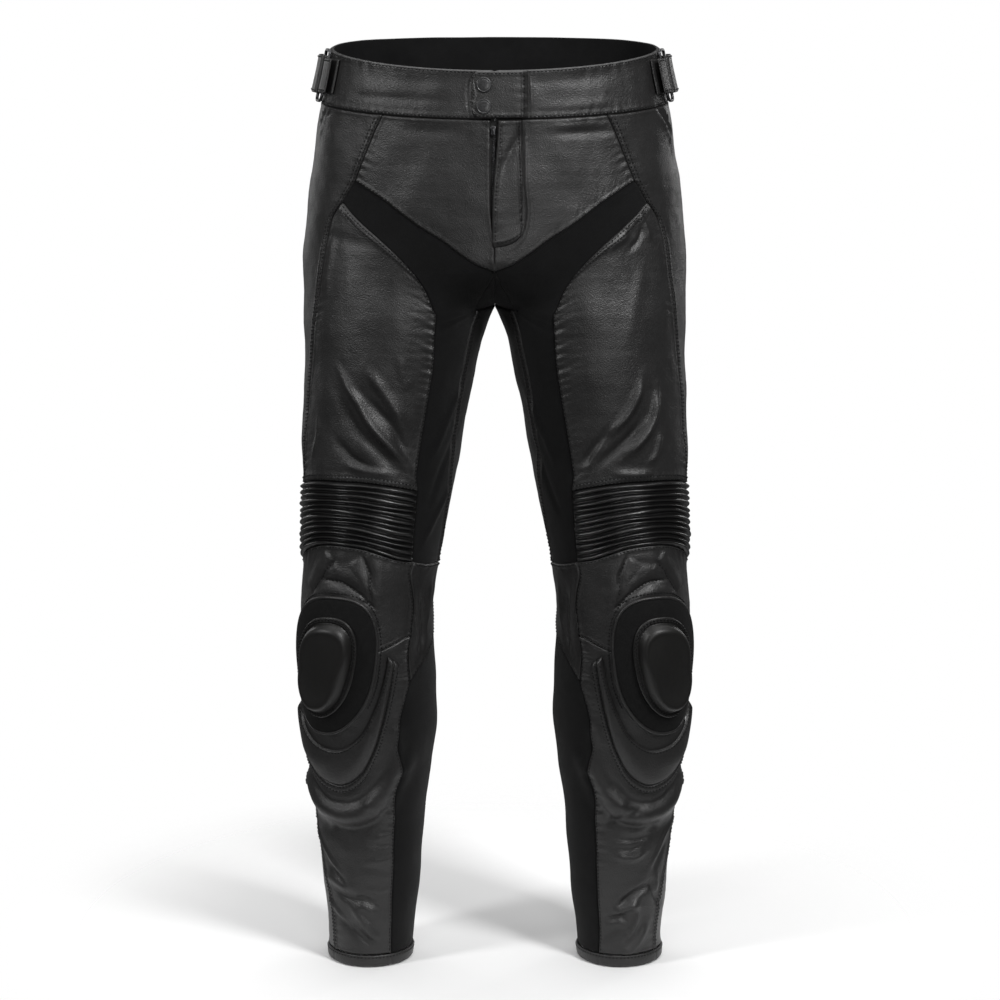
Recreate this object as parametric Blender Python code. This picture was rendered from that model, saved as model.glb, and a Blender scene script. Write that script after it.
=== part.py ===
"""Motorcycle trousers in leather and stretch cloth, filled out as if worn.

Each cut piece is one closed solid. Every piece is a patch of one garment surface, which is
worked out from the tables of sizes below. Sizes are in millimetres until a mesh is made.

A place on one half of the garment is a pair (turn, z). z is the height above the point where
the waistband holds the trousers up. turn is the share of the way round: on the hips 0 is the
centre front, 0.5 the side and 1 the centre back. On a leg 0 is the inseam, 0.25 the front,
0.5 the outer side and 0.75 the back. Half +1 is the wearer's left, half -1 its mirror image.
"""

import math

import bmesh
import bpy
import numpy as np

MM = 0.001

# Heights
CROTCH_Z = -236.0
HEM_SEAM_Z = -963.0
HEM_Z = -976.0

# Cloth and gaps
SEAM_GAP = 0.3
LAYER_GAP = 0.3
LEATHER = 2.0
STRETCH = 1.6
BAND = 3.0
BAND_LIFT = 1.0
GUSSET_INSET = 0.4

# Each leg, from the crotch to the hem: the x of its inner and outer side, the y of those
# sides, and the y of its front and back
LEG_COLUMNS = ("z", "inner_x", "outer_x", "middle_y", "front_y", "back_y")
LEG = (
    (-980, 95.0, 187.0, 12.0, -37.0, 63.0),
    (-935, 90.0, 188.5, 12.0, -39.0, 65.0),
    (-890, 84.5, 192.5, 11.0, -44.0, 69.0),
    (-840, 80.4, 196.8, 9.0, -51.0, 73.0),
    (-790, 76.0, 201.0, 5.0, -60.0, 75.0),
    (-748, 69.7, 206.0, 0.0, -69.0, 73.0),
    (-700, 64.0, 211.0, -9.0, -82.0, 66.0),
    (-650, 64.3, 211.0, -19.0, -93.0, 56.0),
    (-605, 66.5, 212.0, -27.0, -100.0, 50.0),
    (-560, 67.5, 211.5, -30.0, -104.0, 50.0),
    (-515, 61.0, 209.0, -29.0, -104.0, 57.0),
    (-475, 53.8, 208.5, -25.0, -103.0, 66.0),
    (-432, 44.5, 208.5, -20.0, -103.0, 77.0),
    (-392, 37.5, 209.5, -14.0, -104.0, 89.0),
    (-342, 28.3, 208.0, -8.0, -107.0, 103.0),
    (-293, 17.9, 206.5, -3.0, -110.0, 116.0),
    (-260, 9.2, 206.7, 0.0, -113.0, 126.0),
    (-236, 0.0, 207.0, 2.0, -116.0, 132.0),
)

# Hips and waist
TORSO_COLUMNS = ("z", "half_width", "front_y", "back_y")
TORSO = (
    (-300, 207.0, -125.0, 140.0),
    (-240, 207.0, -124.0, 139.0),
    (-200, 206.5, -123.0, 140.0),
    (-150, 203.5, -121.0, 137.0),
    (-100, 197.8, -118.0, 131.0),
    (-50, 190.3, -115.0, 124.0),
    (-18, 185.0, -113.0, 120.0),
    (20, 176.5, -110.5, 115.0),
    (50, 171.5, -108.5, 112.0),
)

# How a leg turns into the hips: the height of the crotch curve at the front and at the back,
# and the heights between which the rest of the thigh does so
CROTCH_CURVE = {"front": 62.0, "back": 105.0}
THIGH_BLEND = (-310.0, -120.0)

# Heights of the two edges of the waistband at the centre front, side and centre back
RIM = {"front": 18.0, "side": 38.0, "back": 46.0}
WAIST_SEAM = {"front": -32.0, "side": -18.0, "back": -10.0}

# The padded dome of the knee
DOME = {"turn": 0.36, "z": -612.0, "height": 7.0, "half_width": 82.0, "half_height": 96.0}

# Folds that are large enough to show in the wall: (height, half width, points of its ridge).
# A negative height is a trough.
FOLDS = {
    "roll_under_shin_pad": (7.0, 13.0, ((0.16, -738), (0.20, -772), (0.27, -791), (0.34, -795), (0.42, -787), (0.49, -770))),
    "trough_under_roll": (-3.0, 14.0, ((0.22, -812), (0.31, -822), (0.40, -814))),
    "thigh_long_fold": (4.5, 11.0, ((0.33, -312), (0.285, -350), (0.235, -383), (0.185, -410))),
    "thigh_high_fold": (3.0, 11.0, ((0.28, -305), (0.235, -340), (0.19, -366))),
    "thigh_low_fold": (2.5, 10.0, ((0.35, -378), (0.30, -394), (0.25, -401))),
    "ankle_long_fold": (3.5, 10.0, ((0.36, -880), (0.28, -912), (0.21, -945))),
    "ankle_short_fold": (3.0, 9.0, ((0.33, -838), (0.25, -862), (0.19, -868))),
    "knee_back_fold": (-5.0, 14.0, ((0.60, -520), (0.72, -530), (0.85, -522))),
    "knee_back_fold_low": (-4.0, 13.0, ((0.62, -572), (0.74, -580), (0.86, -566))),
    "knee_back_fold_high": (-4.0, 13.0, ((0.64, -468), (0.76, -480), (0.88, -474))),
    "under_seat_fold": (-4.0, 14.0, ((0.64, -268), (0.76, -290), (0.90, -282))),
    "calf_back_fold": (-3.0, 12.0, ((0.62, -830), (0.72, -846), (0.84, -836))),
    "ankle_back_fold": (-3.0, 11.0, ((0.60, -905), (0.72, -915), (0.86, -900))),
}

# Seams of one half: (number of stretches, points along it). Pieces on both sides of a seam
# share these stretches.
SEAMS = {
    "fly_edge": (5, ((0.007, None), (0.007, -90), (0.006, -130), (0.0, -158), (0.0, -190))),
    "side_above_v": (5, ((0.215, None), (0.228, -43), (0.240, -60), (0.253, -79), (0.267, -98))),
    "side_at_v": (4, ((0.267, -98), (0.283, -110), (0.297, -121))),
    "side_thigh": (12, ((0.297, -121), (0.322, -135), (0.338, -153), (0.361, -186), (0.390, -226), (0.413, -269), (0.431, -335), (0.448, -401), (0.460, -426))),
    "yoke_base": (6, ((0.267, -98), (0.228, -108), (0.194, -118), (0.163, -130), (0.126, -145), (0.090, -158), (0.057, -172), (0.028, -183), (0.0, -190))),
    "thigh_top": (6, ((0.297, -121), (0.273, -131), (0.249, -141), (0.210, -159), (0.180, -178), (0.161, -195))),
    "thigh_inner": (12, ((0.161, -195), (0.152, -212), (0.156, -235), (0.161, -258), (0.165, -300), (0.165, -350), (0.167, -393), (0.167, -412), (0.160, -427))),
    "rib_inner": (3, ((0.160, -427), (0.144, -504))),
    "rib_outer": (3, ((0.560, -438), (0.560, -524))),
    "rib_top": (6, ((0.160, -427), (0.201, -422), (0.243, -418), (0.284, -416), (0.327, -416), (0.381, -418), (0.430, -422), (0.460, -426))),
    "rib_top_side": (3, ((0.460, -426), (0.560, -438))),
    "rib_base": (9, ((0.144, -504), (0.192, -499), (0.228, -493), (0.262, -488), (0.309, -485), (0.362, -486), (0.421, -494), (0.491, -509), (0.560, -524))),
    "gusset_top": (2, ((0.0, -190), (0.012, -206), (0.028, -218))),
    "gusset_side": (2, ((0.028, -218), (0.052, -229), (0.081, -236))),
    "gusset_base": (2, ((0.0, -236), (0.081, -236))),
    "gusset_centre": (2, ((0.0, -190), (0.0, -236))),
    "inseam": (11, ((0.081, -236), (0.088, -260), (0.090, -284), (0.087, -325), (0.080, -370), (0.066, -421), (0.052, -456), (0.037, -490), (0.038, -513))),
    "knee_inner_top": (4, ((0.144, -504), (0.095, -510), (0.038, -513))),
    "seat_side": (13, ((0.620, None), (0.600, -245))),
    "back_side": (8, ((0.600, -245), (0.560, -438))),
    "seat_base": (7, ((0.600, -245), (0.70, -262), (0.82, -266), (0.93, -250), (1.0, -236))),
    "centre_back": (13, ((1.0, None), (1.0, -236))),
    "knee_back_inner": (2, ((0.038, -513), (-0.110, -524))),
    "knee_back": (7, ((-0.110, -524), (-0.27, -532), (-0.440, -524))),
    "knee_inner": (6, ((0.144, -504), (0.148, -518), (0.134, -535), (0.121, -558), (0.130, -586))),
    "knee_inner_low": (6, ((0.130, -586), (0.141, -607), (0.142, -625), (0.141, -638))),
    "knee_cross": (9, ((0.130, -586), (0.161, -590), (0.193, -596), (0.23, -601), (0.30, -606), (0.42, -608), (0.530, -610))),
    "knee_outer": (6, ((0.560, -524), (0.530, -610))),
    "calf_top": (6, ((0.141, -638), (0.104, -622), (0.055, -605), (0.0, -583), (-0.110, -524))),
    "shin_inner": (12, ((0.141, -638), (0.157, -658), (0.169, -675), (0.178, -699), (0.181, -712), (0.173, -730), (0.169, -748), (0.177, -762), (0.179, -778), (0.173, -800), (0.173, -814), (0.174, -855), (0.174, -895), (0.171, -935), (0.164, HEM_SEAM_Z))),
    "shin_outer": (18, ((0.530, -610), (0.515, -700), (0.487, -790), (0.461, -833), (0.434, -872), (0.412, -903), (0.405, -925), (0.405, HEM_SEAM_Z))),
    "calf_back": (12, ((-0.110, -524), (-0.220, HEM_SEAM_Z))),
    "hem_shin": (9, ((0.164, HEM_SEAM_Z), (0.405, HEM_SEAM_Z))),
    "hem_calf": (6, ((0.164, HEM_SEAM_Z), (-0.220, HEM_SEAM_Z))),
    "hem_outer": (7, ((-0.220, HEM_SEAM_Z), (-0.595, HEM_SEAM_Z))),
}

RIBS = {"count": 12, "height": 2.6}

# Knee armour, measured on the cloth from its centre
PUCK = {"turn": 0.348, "z": -622.0, "half_width": 34.0, "top": 61.0, "bottom": 56.0, "slant": 0.18, "height": 10.0}
PATCH = {"turn": 0.346, "z": -622.0, "half_width": 52.0, "top": 79.0, "bottom": 75.0, "slant": 0.15, "thickness": 2.0}

FLY = {
    "tape_half_width": 12.0,
    "tape": 1.0,
    "tape_end_z": -150.0,
    "placket_left": -1.0,
    "placket_right": 29.0,
    "curve_z": -128.0,
    "curve_drop": 36.0,
    "slider_z": -44.0,
    "slider": 2.4,
}

TAB = {
    "left": -23.6,
    "right": 34.0,
    "corner": 9.0,
    "thickness": 2.6,
    "snap_x": -11.0,
    "snap_high_z": 3.0,
    "snap_low_z": -19.0,
}

SNAP = {"radius": 8.0, "height": 2.8}

# The adjusters at both sides of the waist. Arcs run towards the back from this turn.
ADJUSTER = {
    "turn": 0.372,
    "arc_of_turn": 470.0,
    "front_bar": 20.0,
    "back_bar": 40.0,
    "bar_height": 5.5,
    "bend": 3.6,
    "strap": 2.2,
    "wire": 3.4,
    "tab_z": (-10.0, 26.0),
    "strap_z": (-11.0, 29.0),
    "ring_z": (-18.0, 35.0),
}

# How far the knee's flat-faced pads stay clear of each other, and their rings as shares of the outline
KNEE_CLEARANCE = 0.9
DISC_RINGS = (0.0, 0.25, 0.5, 0.75, 1.0)

SHIN_PAD = {
    "edge": 1.5,
    "height": 4.0,
    "outer": ((0.169, -616), (0.191, -657), (0.210, -692), (0.234, -727), (0.268, -755), (0.315, -768), (0.370, -766), (0.426, -754), (0.485, -734), (0.505, -700)),
    "inner": ((0.196, -606), (0.215, -640), (0.240, -672), (0.272, -700), (0.320, -716), (0.375, -716), (0.430, -706), (0.475, -690), (0.492, -672)),
}

# The section of the hem band, as (z, height above the cloth)
HEM_SECTION = (
    (HEM_SEAM_Z - 0.15, 1.6),
    (HEM_SEAM_Z - 0.15, -1.4),
    (HEM_Z, -1.4),
    (HEM_Z, 1.6),
)

COLOURS = {
    "leather": ((0.020, 0.019, 0.019), 0.42, 0.0),
    "stretch_cloth": ((0.010, 0.010, 0.011), 0.92, 0.0),
    "hook_cloth": ((0.006, 0.006, 0.006), 1.0, 0.0),
    "moulded_pad": ((0.024, 0.024, 0.024), 0.55, 0.0),
    "dark_metal": ((0.045, 0.045, 0.045), 0.35, 0.9),
    "zip": ((0.010, 0.010, 0.010), 0.6, 0.0),
}


def clear_scene():
    for obj in list(bpy.data.objects):
        bpy.data.objects.remove(obj, do_unlink=True)


def material(name):
    made = bpy.data.materials.get(name)
    if made:
        return made
    colour, roughness, metallic = COLOURS[name]
    made = bpy.data.materials.new(name)
    made.use_nodes = True
    shader = made.node_tree.nodes["Principled BSDF"]
    shader.inputs["Base Color"].default_value = (*colour, 1.0)
    shader.inputs["Roughness"].default_value = roughness
    shader.inputs["Metallic"].default_value = metallic
    return made


# Sizes read smoothly from a table

def smooth(xs, values, x):
    """The smooth curve through (xs, values), read at x. It stays level past both ends."""
    xs, values = np.asarray(xs, float), np.asarray(values, float)
    slopes = np.gradient(values, xs)
    x = np.clip(x, xs[0], xs[-1])
    i = np.clip(np.searchsorted(xs, x) - 1, 0, len(xs) - 2)
    step = xs[i + 1] - xs[i]
    s = (x - xs[i]) / step
    start = values[i] * (1 + 2 * s) * (1 - s) ** 2 + step * slopes[i] * s * (1 - s) ** 2
    end = values[i + 1] * s * s * (3 - 2 * s) + step * slopes[i + 1] * s * s * (s - 1)
    return start + end


def sizes(table, columns, z):
    """Each column of the table but z, read at the heights z."""
    rows = np.array(table, float).T
    return {name: smooth(rows[0], rows[i], z) for i, name in enumerate(columns) if i}


def ease(share):
    share = np.clip(share, 0.0, 1.0)
    return share * share * (3 - 2 * share)


# The garment surface

def level(edge, turn):
    """The height of an edge of the waistband, which is lower at the front."""
    c = np.cos(np.pi * np.asarray(turn, float))
    middle = (edge["back"] + edge["front"]) / 2
    return edge["side"] - (edge["back"] - edge["front"]) / 2 * c + (middle - edge["side"]) * c * c


def leg_point(turn, z):
    at = sizes(LEG, LEG_COLUMNS, z)
    c, s = np.cos(2 * np.pi * turn), np.sin(2 * np.pi * turn)
    middle_x, half_width = (at["inner_x"] + at["outer_x"]) / 2, (at["outer_x"] - at["inner_x"]) / 2
    depth = np.where(s > 0, at["middle_y"] - at["front_y"], at["back_y"] - at["middle_y"])
    return middle_x - half_width * c, at["middle_y"] - depth * s


def torso_point(turn, z):
    at = sizes(TORSO, TORSO_COLUMNS, z)
    c, s = np.cos(np.pi * turn), np.sin(np.pi * turn)
    return at["half_width"] * s, np.where(c > 0, at["front_y"], -at["back_y"]) * c


def hip_share(turn, z):
    """How far the leg's section has turned into the hips': 0 on the leg, 1 above the crotch."""
    back = (1 - np.cos(np.pi * turn)) / 2
    rise = CROTCH_CURVE["front"] * (1 - back) + CROTCH_CURVE["back"] * back
    up = np.clip((z - CROTCH_Z) / rise, 0.0, 1.0)
    round_curve = np.sqrt(1 - (1 - up) ** 2)
    gentle = ease((z - THIGH_BLEND[0]) / (THIGH_BLEND[1] - THIGH_BLEND[0]))
    outward = ease(np.minimum(turn, 1 - turn) / 0.2)
    mixed = round_curve * (1 - outward) + gentle * outward
    over_centre = (turn < 0) | (turn > 1)
    return np.where(over_centre, 1.0, mixed)


def surface(turn, z):
    """Points of the plain garment surface of half +1."""
    turn, z = np.broadcast_arrays(np.asarray(turn, float), np.asarray(z, float))
    turn = np.where(z <= CROTCH_Z, turn % 1.0, turn)
    share = hip_share(turn, z)
    leg_x, leg_y = leg_point(turn, z)
    hip_x, hip_y = torso_point(turn, z)
    x = leg_x * (1 - share) + hip_x * share
    y = leg_y * (1 - share) + hip_y * share
    return np.stack([x, y, z + 0.0 * x], axis=-1)


def unit(vectors):
    return vectors / np.maximum(np.linalg.norm(vectors, axis=-1, keepdims=True), 1e-9)


def normals(turn, z, legs_only=False):
    """Outward normals of the plain surface. On the centre seams they lie in the plane x = 0.
    legs_only takes a place at the height of the crotch as part of the leg below it."""
    turn, z = np.broadcast_arrays(np.asarray(turn, float), np.asarray(z, float))
    d_turn, d_z = 0.002, 1.0
    hips = (z > CROTCH_Z - 0.5) & (not legs_only)
    z_low = np.where(hips, np.maximum(z - d_z, CROTCH_Z + 0.01), z - d_z)
    z_high = np.where(hips, z + d_z, np.minimum(z + d_z, CROTCH_Z - 0.01))
    split = hips & (z < -60)
    turn_low = np.where(split, np.where(turn >= 0, np.maximum(turn - d_turn, 0), turn - d_turn), turn - d_turn)
    turn_high = np.where(split & (turn <= 1), np.minimum(turn + d_turn, 1), turn + d_turn)
    across = surface(turn_high, z) - surface(turn_low, z)
    up = surface(turn, z_high) - surface(turn, z_low)
    found = unit(np.cross(across, up))
    on_centre = hips & ((np.abs(turn) < 1e-6) | (np.abs(turn - 1) < 1e-6))
    flat = found.copy()
    flat[..., 0] = 0.0
    flat = unit(flat)
    apex = on_centre & (z < CROTCH_Z + 0.5)
    flat[apex] = (0.0, 0.0, -1.0)
    return np.where(on_centre[..., None], flat, found)


def girth(z):
    """Roughly the way round one leg at height z, or half the way round the hips."""
    at = sizes(LEG, LEG_COLUMNS, z)
    return math.pi / 2 * ((at["outer_x"] - at["inner_x"]) + (at["back_y"] - at["front_y"]))


def ridge_distance(turn, z, points):
    """The distance on the cloth from each place to the line through points."""
    nearest = np.full(np.shape(turn), 1e9)
    round_leg = girth(z)
    for (turn_a, z_a), (turn_b, z_b) in zip(points[:-1], points[1:]):
        along = np.array([(turn_b - turn_a), (z_b - z_a)])
        du, dz = (turn - turn_a) * round_leg, z - z_a
        length_u = along[0] * round_leg
        share = np.clip((du * length_u + dz * along[1]) / (length_u ** 2 + along[1] ** 2), 0, 1)
        nearest = np.minimum(nearest, np.hypot(du - share * length_u, dz - share * along[1]))
    return nearest


def swell(turn, z):
    """How far the knee dome and the large folds stand out from the plain surface."""
    turn, z = np.broadcast_arrays(np.asarray(turn, float), np.asarray(z, float))
    leg_turn = turn % 1.0
    far = np.hypot((leg_turn - DOME["turn"]) * girth(z) / DOME["half_width"], (z - DOME["z"]) / DOME["half_height"])
    total = DOME["height"] * ease(1.25 * (1 - far))
    for height, half_width, points in FOLDS.values():
        total = total + height * np.exp(-((ridge_distance(leg_turn, z, points) / half_width) ** 2))
    return total * ease((CROTCH_Z - z) / 20.0)


def cloth(turn, z, lift=0.0, legs_only=False):
    """(points, normals) of the cloth's outer face, lift millimetres out."""
    out = normals(turn, z, legs_only)
    height = np.asarray(swell(turn, z) + lift)
    points = surface(turn, z) + out * height[..., None]
    points[..., 0] += SEAM_GAP / 2
    return points, out


# Seams and patches

def along_seam(points, count):
    """A smooth line through points (turn, z), as count stretches of equal length on the cloth.
    A z of None is the height of the waist seam."""
    points = np.array([(turn, level(WAIST_SEAM, turn) if z is None else z) for turn, z in points])
    knots = np.concatenate([[0], np.cumsum(np.hypot(np.diff(points[:, 0]) * 500, np.diff(points[:, 1])))])
    fine = np.linspace(0, knots[-1], 40 * len(points))
    if len(points) > 2:
        line = np.stack([smooth(knots, points[:, 0], fine), smooth(knots, points[:, 1], fine)], 1)
    else:
        line = np.stack([np.interp(fine, knots, points[:, 0]), np.interp(fine, knots, points[:, 1])], 1)
    place = surface(line[:, 0], line[:, 1])
    run = np.concatenate([[0], np.cumsum(np.linalg.norm(np.diff(place, axis=0), axis=1))])
    stops = np.linspace(0, run[-1], count + 1)
    return np.stack([np.interp(stops, run, line[:, 0]), np.interp(stops, run, line[:, 1])], 1)


def waist_line(turn_a, turn_b, count):
    turns = np.linspace(turn_a, turn_b, count + 1)
    return np.stack([turns, level(WAIST_SEAM, turns)], 1)


def seam(*names, count=None):
    """The named seams one after the other. A name that starts with - is taken backwards."""
    lines = []
    for name in names:
        stretches, points = SEAMS[name.lstrip("-")]
        line = along_seam(points, count or stretches)
        lines.append(line[::-1] if name.startswith("-") else line)
    joined = [lines[0]] + [line[1:] for line in lines[1:]]
    return np.concatenate(joined)


def around(line):
    """The same line one turn further back, for pieces that cross the inseam."""
    return line - np.array([1.0, 0.0])


def patch(bottom, top, left, right):
    """The places (turn, z) inside four edges. bottom and top run left to right, the others up."""
    across = np.linspace(0, 1, len(bottom))[None, :, None]
    up = np.linspace(0, 1, len(left))[:, None, None]
    ruled = (1 - up) * bottom[None] + up * top[None] + (1 - across) * left[:, None] + across * right[:, None]
    corners = (1 - up) * ((1 - across) * bottom[0] + across * bottom[-1]) + up * (
        (1 - across) * top[0] + across * top[-1]
    )
    return ruled - corners


def spread(rows, extra):
    """More rows between each two rows of a line, on the straight line between them."""
    places = np.linspace(0, len(rows) - 1, (len(rows) - 1) * extra + 1)
    index = np.arange(len(rows))
    return np.stack([np.interp(places, index, rows[:, i]) for i in range(rows.shape[1])], 1)


def inset(points, out, distance):
    """The grid of points with its edge moved in by distance, square to the edge."""
    moved = points.copy()
    pushes = {}
    rows, columns = points.shape[:2]
    sides = (
        [((i, 0), (i, 1)) for i in range(rows)],
        [((i, columns - 1), (i, columns - 2)) for i in range(rows)],
        [((0, j), (1, j)) for j in range(columns)],
        [((rows - 1, j), (rows - 2, j)) for j in range(columns)],
    )
    for side in sides:
        for k, (edge, inner) in enumerate(side):
            before, after = side[max(k - 1, 0)][0], side[min(k + 1, len(side) - 1)][0]
            along = unit(points[after] - points[before])
            inward = points[inner] - points[edge]
            inward = inward - along * (inward @ along) - out[edge] * (inward @ out[edge])
            pushes.setdefault(edge, []).append(unit(inward))
    for edge, directions in pushes.items():
        total = sum(directions)
        share = 1.0 if len(directions) == 1 else 1.0 / max(1 + directions[0] @ directions[1], 0.35)
        moved[edge] = points[edge] + total * share * distance
    return moved


# Solids

def finish(name, bm, slot, smooth_angle=40):
    bmesh.ops.recalc_face_normals(bm, faces=bm.faces[:])
    if bm.calc_volume(signed=True) < 0:
        bmesh.ops.reverse_faces(bm, faces=bm.faces[:])
    mesh = bpy.data.meshes.new(name)
    bm.to_mesh(mesh)
    bm.free()
    mesh.shade_smooth()
    mesh.set_sharp_from_angle(angle=math.radians(smooth_angle))
    mesh.materials.append(material(slot))
    obj = bpy.data.objects.new(name, mesh)
    GARMENT.objects.link(obj)
    return obj


def wall(name, outer, inner, slot):
    """A closed wall between two grids of points: a flat grid is shaped, extruded and shaped."""
    rows, columns = outer.shape[0] - 1, outer.shape[1] - 1
    bm = bmesh.new()
    bmesh.ops.create_grid(bm, x_segments=columns, y_segments=rows, size=1)
    made = bmesh.ops.extrude_face_region(bm, geom=bm.faces[:], use_keep_orig=True)
    extruded = {item for item in made["geom"] if isinstance(item, bmesh.types.BMVert)}
    for vertex in bm.verts:
        column = round((vertex.co.x + 1) / 2 * columns)
        row = round((vertex.co.y + 1) / 2 * rows)
        grid = inner if vertex in extruded else outer
        vertex.co = grid[row, column] * MM
    return finish(name, bm, slot)


def rounded(name, rings, slot, closed_tube):
    """A closed solid from rings of points. closed_tube joins the last ring to the first.
    Otherwise the first and last rings are single points."""
    loops = np.concatenate([rings, rings[:, :1]], axis=1)
    if closed_tube:
        loops = np.concatenate([loops, loops[:1]], axis=0)
    rows, columns = loops.shape[0] - 1, loops.shape[1] - 1
    bm = bmesh.new()
    bmesh.ops.create_grid(bm, x_segments=columns, y_segments=rows, size=1)
    for vertex in bm.verts:
        column = round((vertex.co.x + 1) / 2 * columns)
        row = round((vertex.co.y + 1) / 2 * rows)
        vertex.co = loops[row, column] * MM
    bmesh.ops.remove_doubles(bm, verts=bm.verts[:], dist=1e-6)
    return finish(name, bm, slot)


def mirrored(points, half):
    return points * np.array([half, 1.0, 1.0])


def panel(
    name, places, thickness, slot, half=0, lift=0.0, raised=None, legs_only=False, trim=SEAM_GAP / 2
):
    """A cut piece: the wall of cloth over a grid of places (turn, z). Its outer face is lift
    millimetres out from the cloth's, and raised more where ribs or padding lift it. Its edge
    stands back from the seam by trim. Half 0 is a piece that crosses the middle."""
    turn, z = places[..., 0], places[..., 1]
    points, out = cloth(turn, z, lift, legs_only)
    points = inset(points, out, trim)
    outer = points if raised is None else points + out * raised[..., None]
    inner = points - out * thickness
    if half:
        for grid in (outer, inner):
            grid[..., 0] = np.maximum(grid[..., 0], SEAM_GAP / 2)
    return wall(name, mirrored(outer, half or 1), mirrored(inner, half or 1), slot)


def side_name(half):
    return "left" if half > 0 else "right"


# Cut pieces of one half

def hips(half):
    at = side_name(half)
    yoke = patch(seam("-yoke_base"), waist_line(0.007, 0.215, 6), seam("-fly_edge"), seam("-side_above_v"))
    panel(f"front_yoke_{at}", yoke, LEATHER, "leather", half)

    side = patch(
        seam("rib_top_side", count=6),
        waist_line(0.215, 0.620, 6),
        seam("-side_thigh", "-side_at_v", "-side_above_v"),
        seam("-back_side", "-seat_side"),
    )
    panel(f"side_panel_{at}", side, LEATHER, "leather", half)

    seat = patch(seam("seat_base"), waist_line(0.620, 1.0, 7), seam("-seat_side"), seam("-centre_back"))
    panel(f"seat_{at}", seat, LEATHER, "leather", half)

    gusset = patch(seam("gusset_base"), seam("gusset_top"), seam("-gusset_centre"), seam("-gusset_side"))
    panel(f"gusset_{at}", gusset, STRETCH, "stretch_cloth", half, lift=-GUSSET_INSET, trim=SEAM_GAP)

    band_turns = np.linspace(0.003, 0.42, 9)
    panel(f"waistband_front_{at}", band(band_turns), BAND, "leather", half, lift=BAND_LIFT)


def band(turns):
    low = np.stack([turns, level(WAIST_SEAM, turns)], 1)
    high = np.stack([turns, level(RIM, turns)], 1)
    share = np.linspace(0, 1, 3)[:, None, None]
    return (1 - share) * low[None] + share * high[None]


def thigh(half):
    at = side_name(half)
    front = patch(seam("rib_top"), seam("-thigh_top"), seam("-thigh_inner"), seam("-side_thigh"))
    panel(f"thigh_front_{at}", front, LEATHER, "leather", half)

    stretch = patch(
        seam("-knee_inner_top"),
        seam("side_at_v"),
        seam("-inseam", "-gusset_side", "-gusset_top", "-yoke_base"),
        seam("-rib_inner", "-thigh_inner", "-thigh_top"),
    )
    panel(f"stretch_front_{at}", stretch, STRETCH, "stretch_cloth", half)

    back = patch(
        seam("-knee_back", "-knee_back_inner"),
        np.concatenate([around(seam("seat_base"))[:-1], seam("gusset_base")]),
        around(seam("-rib_outer", "-back_side")),
        seam("-inseam"),
    )
    panel(f"back_thigh_{at}", back, LEATHER, "leather", half, legs_only=True)


def ribbed_panel(half):
    places = patch(seam("rib_base"), seam("rib_top", "rib_top_side"), seam("-rib_inner"), seam("-rib_outer"))
    rows_per_stretch = 2 * RIBS["count"] // 3
    fine = np.stack([spread(places[:, j], rows_per_stretch) for j in range(places.shape[1])], axis=1)
    ridge = np.zeros(fine.shape[:2])
    ridge[1:-1:2, :] = RIBS["height"]
    panel(f"ribbed_panel_{side_name(half)}", fine, LEATHER, "leather", half, raised=ridge)


def lower_leg(half):
    at = side_name(half)
    knee = patch(seam("knee_cross"), seam("rib_base"), seam("-knee_inner"), seam("-knee_outer"))
    panel(f"knee_cup_{at}", knee, LEATHER, "leather", half)

    inner_knee = patch(
        seam("-knee_inner_low"),
        seam("-knee_back_inner", "-knee_inner_top"),
        seam("calf_top"),
        seam("-knee_inner"),
    )
    panel(f"inner_knee_{at}", inner_knee, LEATHER, "leather", half)

    shin = patch(seam("hem_shin"), seam("knee_cross"), seam("-shin_inner", "-knee_inner_low"), seam("-shin_outer"))
    panel(f"shin_{at}", shin, LEATHER, "leather", half)

    inner_calf = patch(seam("-hem_calf"), seam("-calf_top"), seam("-calf_back"), seam("-shin_inner"))
    panel(f"inner_calf_{at}", inner_calf, STRETCH, "stretch_cloth", half)

    outer_calf = patch(
        seam("-hem_outer"),
        seam("-knee_back"),
        around(seam("-shin_outer", "-knee_outer")),
        seam("-calf_back", count=24),
    )
    panel(f"outer_calf_{at}", outer_calf, LEATHER, "leather", half)


# What lies on the cut pieces

def ring_places(centre, outline, scale):
    """Places (turn, z) round a centre on the cloth, from an outline of (across, up) in mm."""
    turn = centre["turn"] + outline[:, 0] * scale / girth(centre["z"])
    return np.stack([turn, centre["z"] + outline[:, 1] * scale], 1)


def disc(name, centre, outline, layers, slot, half):
    """A closed pad on the cloth. Each layer is (share of the outline, height above the cloth)."""
    rings = []
    for share, height in layers:
        places = ring_places(centre, outline, share)
        rings.append(cloth(places[:, 0], places[:, 1], height)[0])
    return rounded(name, mirrored(np.array(rings), half), slot, closed_tube=False)


def egg(shape, count, squareness=0.86, narrowing=0.12):
    """An outline that is wider and further inward at the top, as count points (across, up)."""
    angle = np.linspace(0, 2 * np.pi, count, endpoint=False)
    c, s = np.cos(angle), np.sin(angle)
    up = np.where(s > 0, shape["top"], shape["bottom"]) * np.sign(s) * np.abs(s) ** squareness
    width = shape["half_width"] * (1 + narrowing * s)
    across = width * np.sign(c) * np.abs(c) ** squareness - shape["slant"] * up
    return np.stack([across, up], 1)


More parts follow.
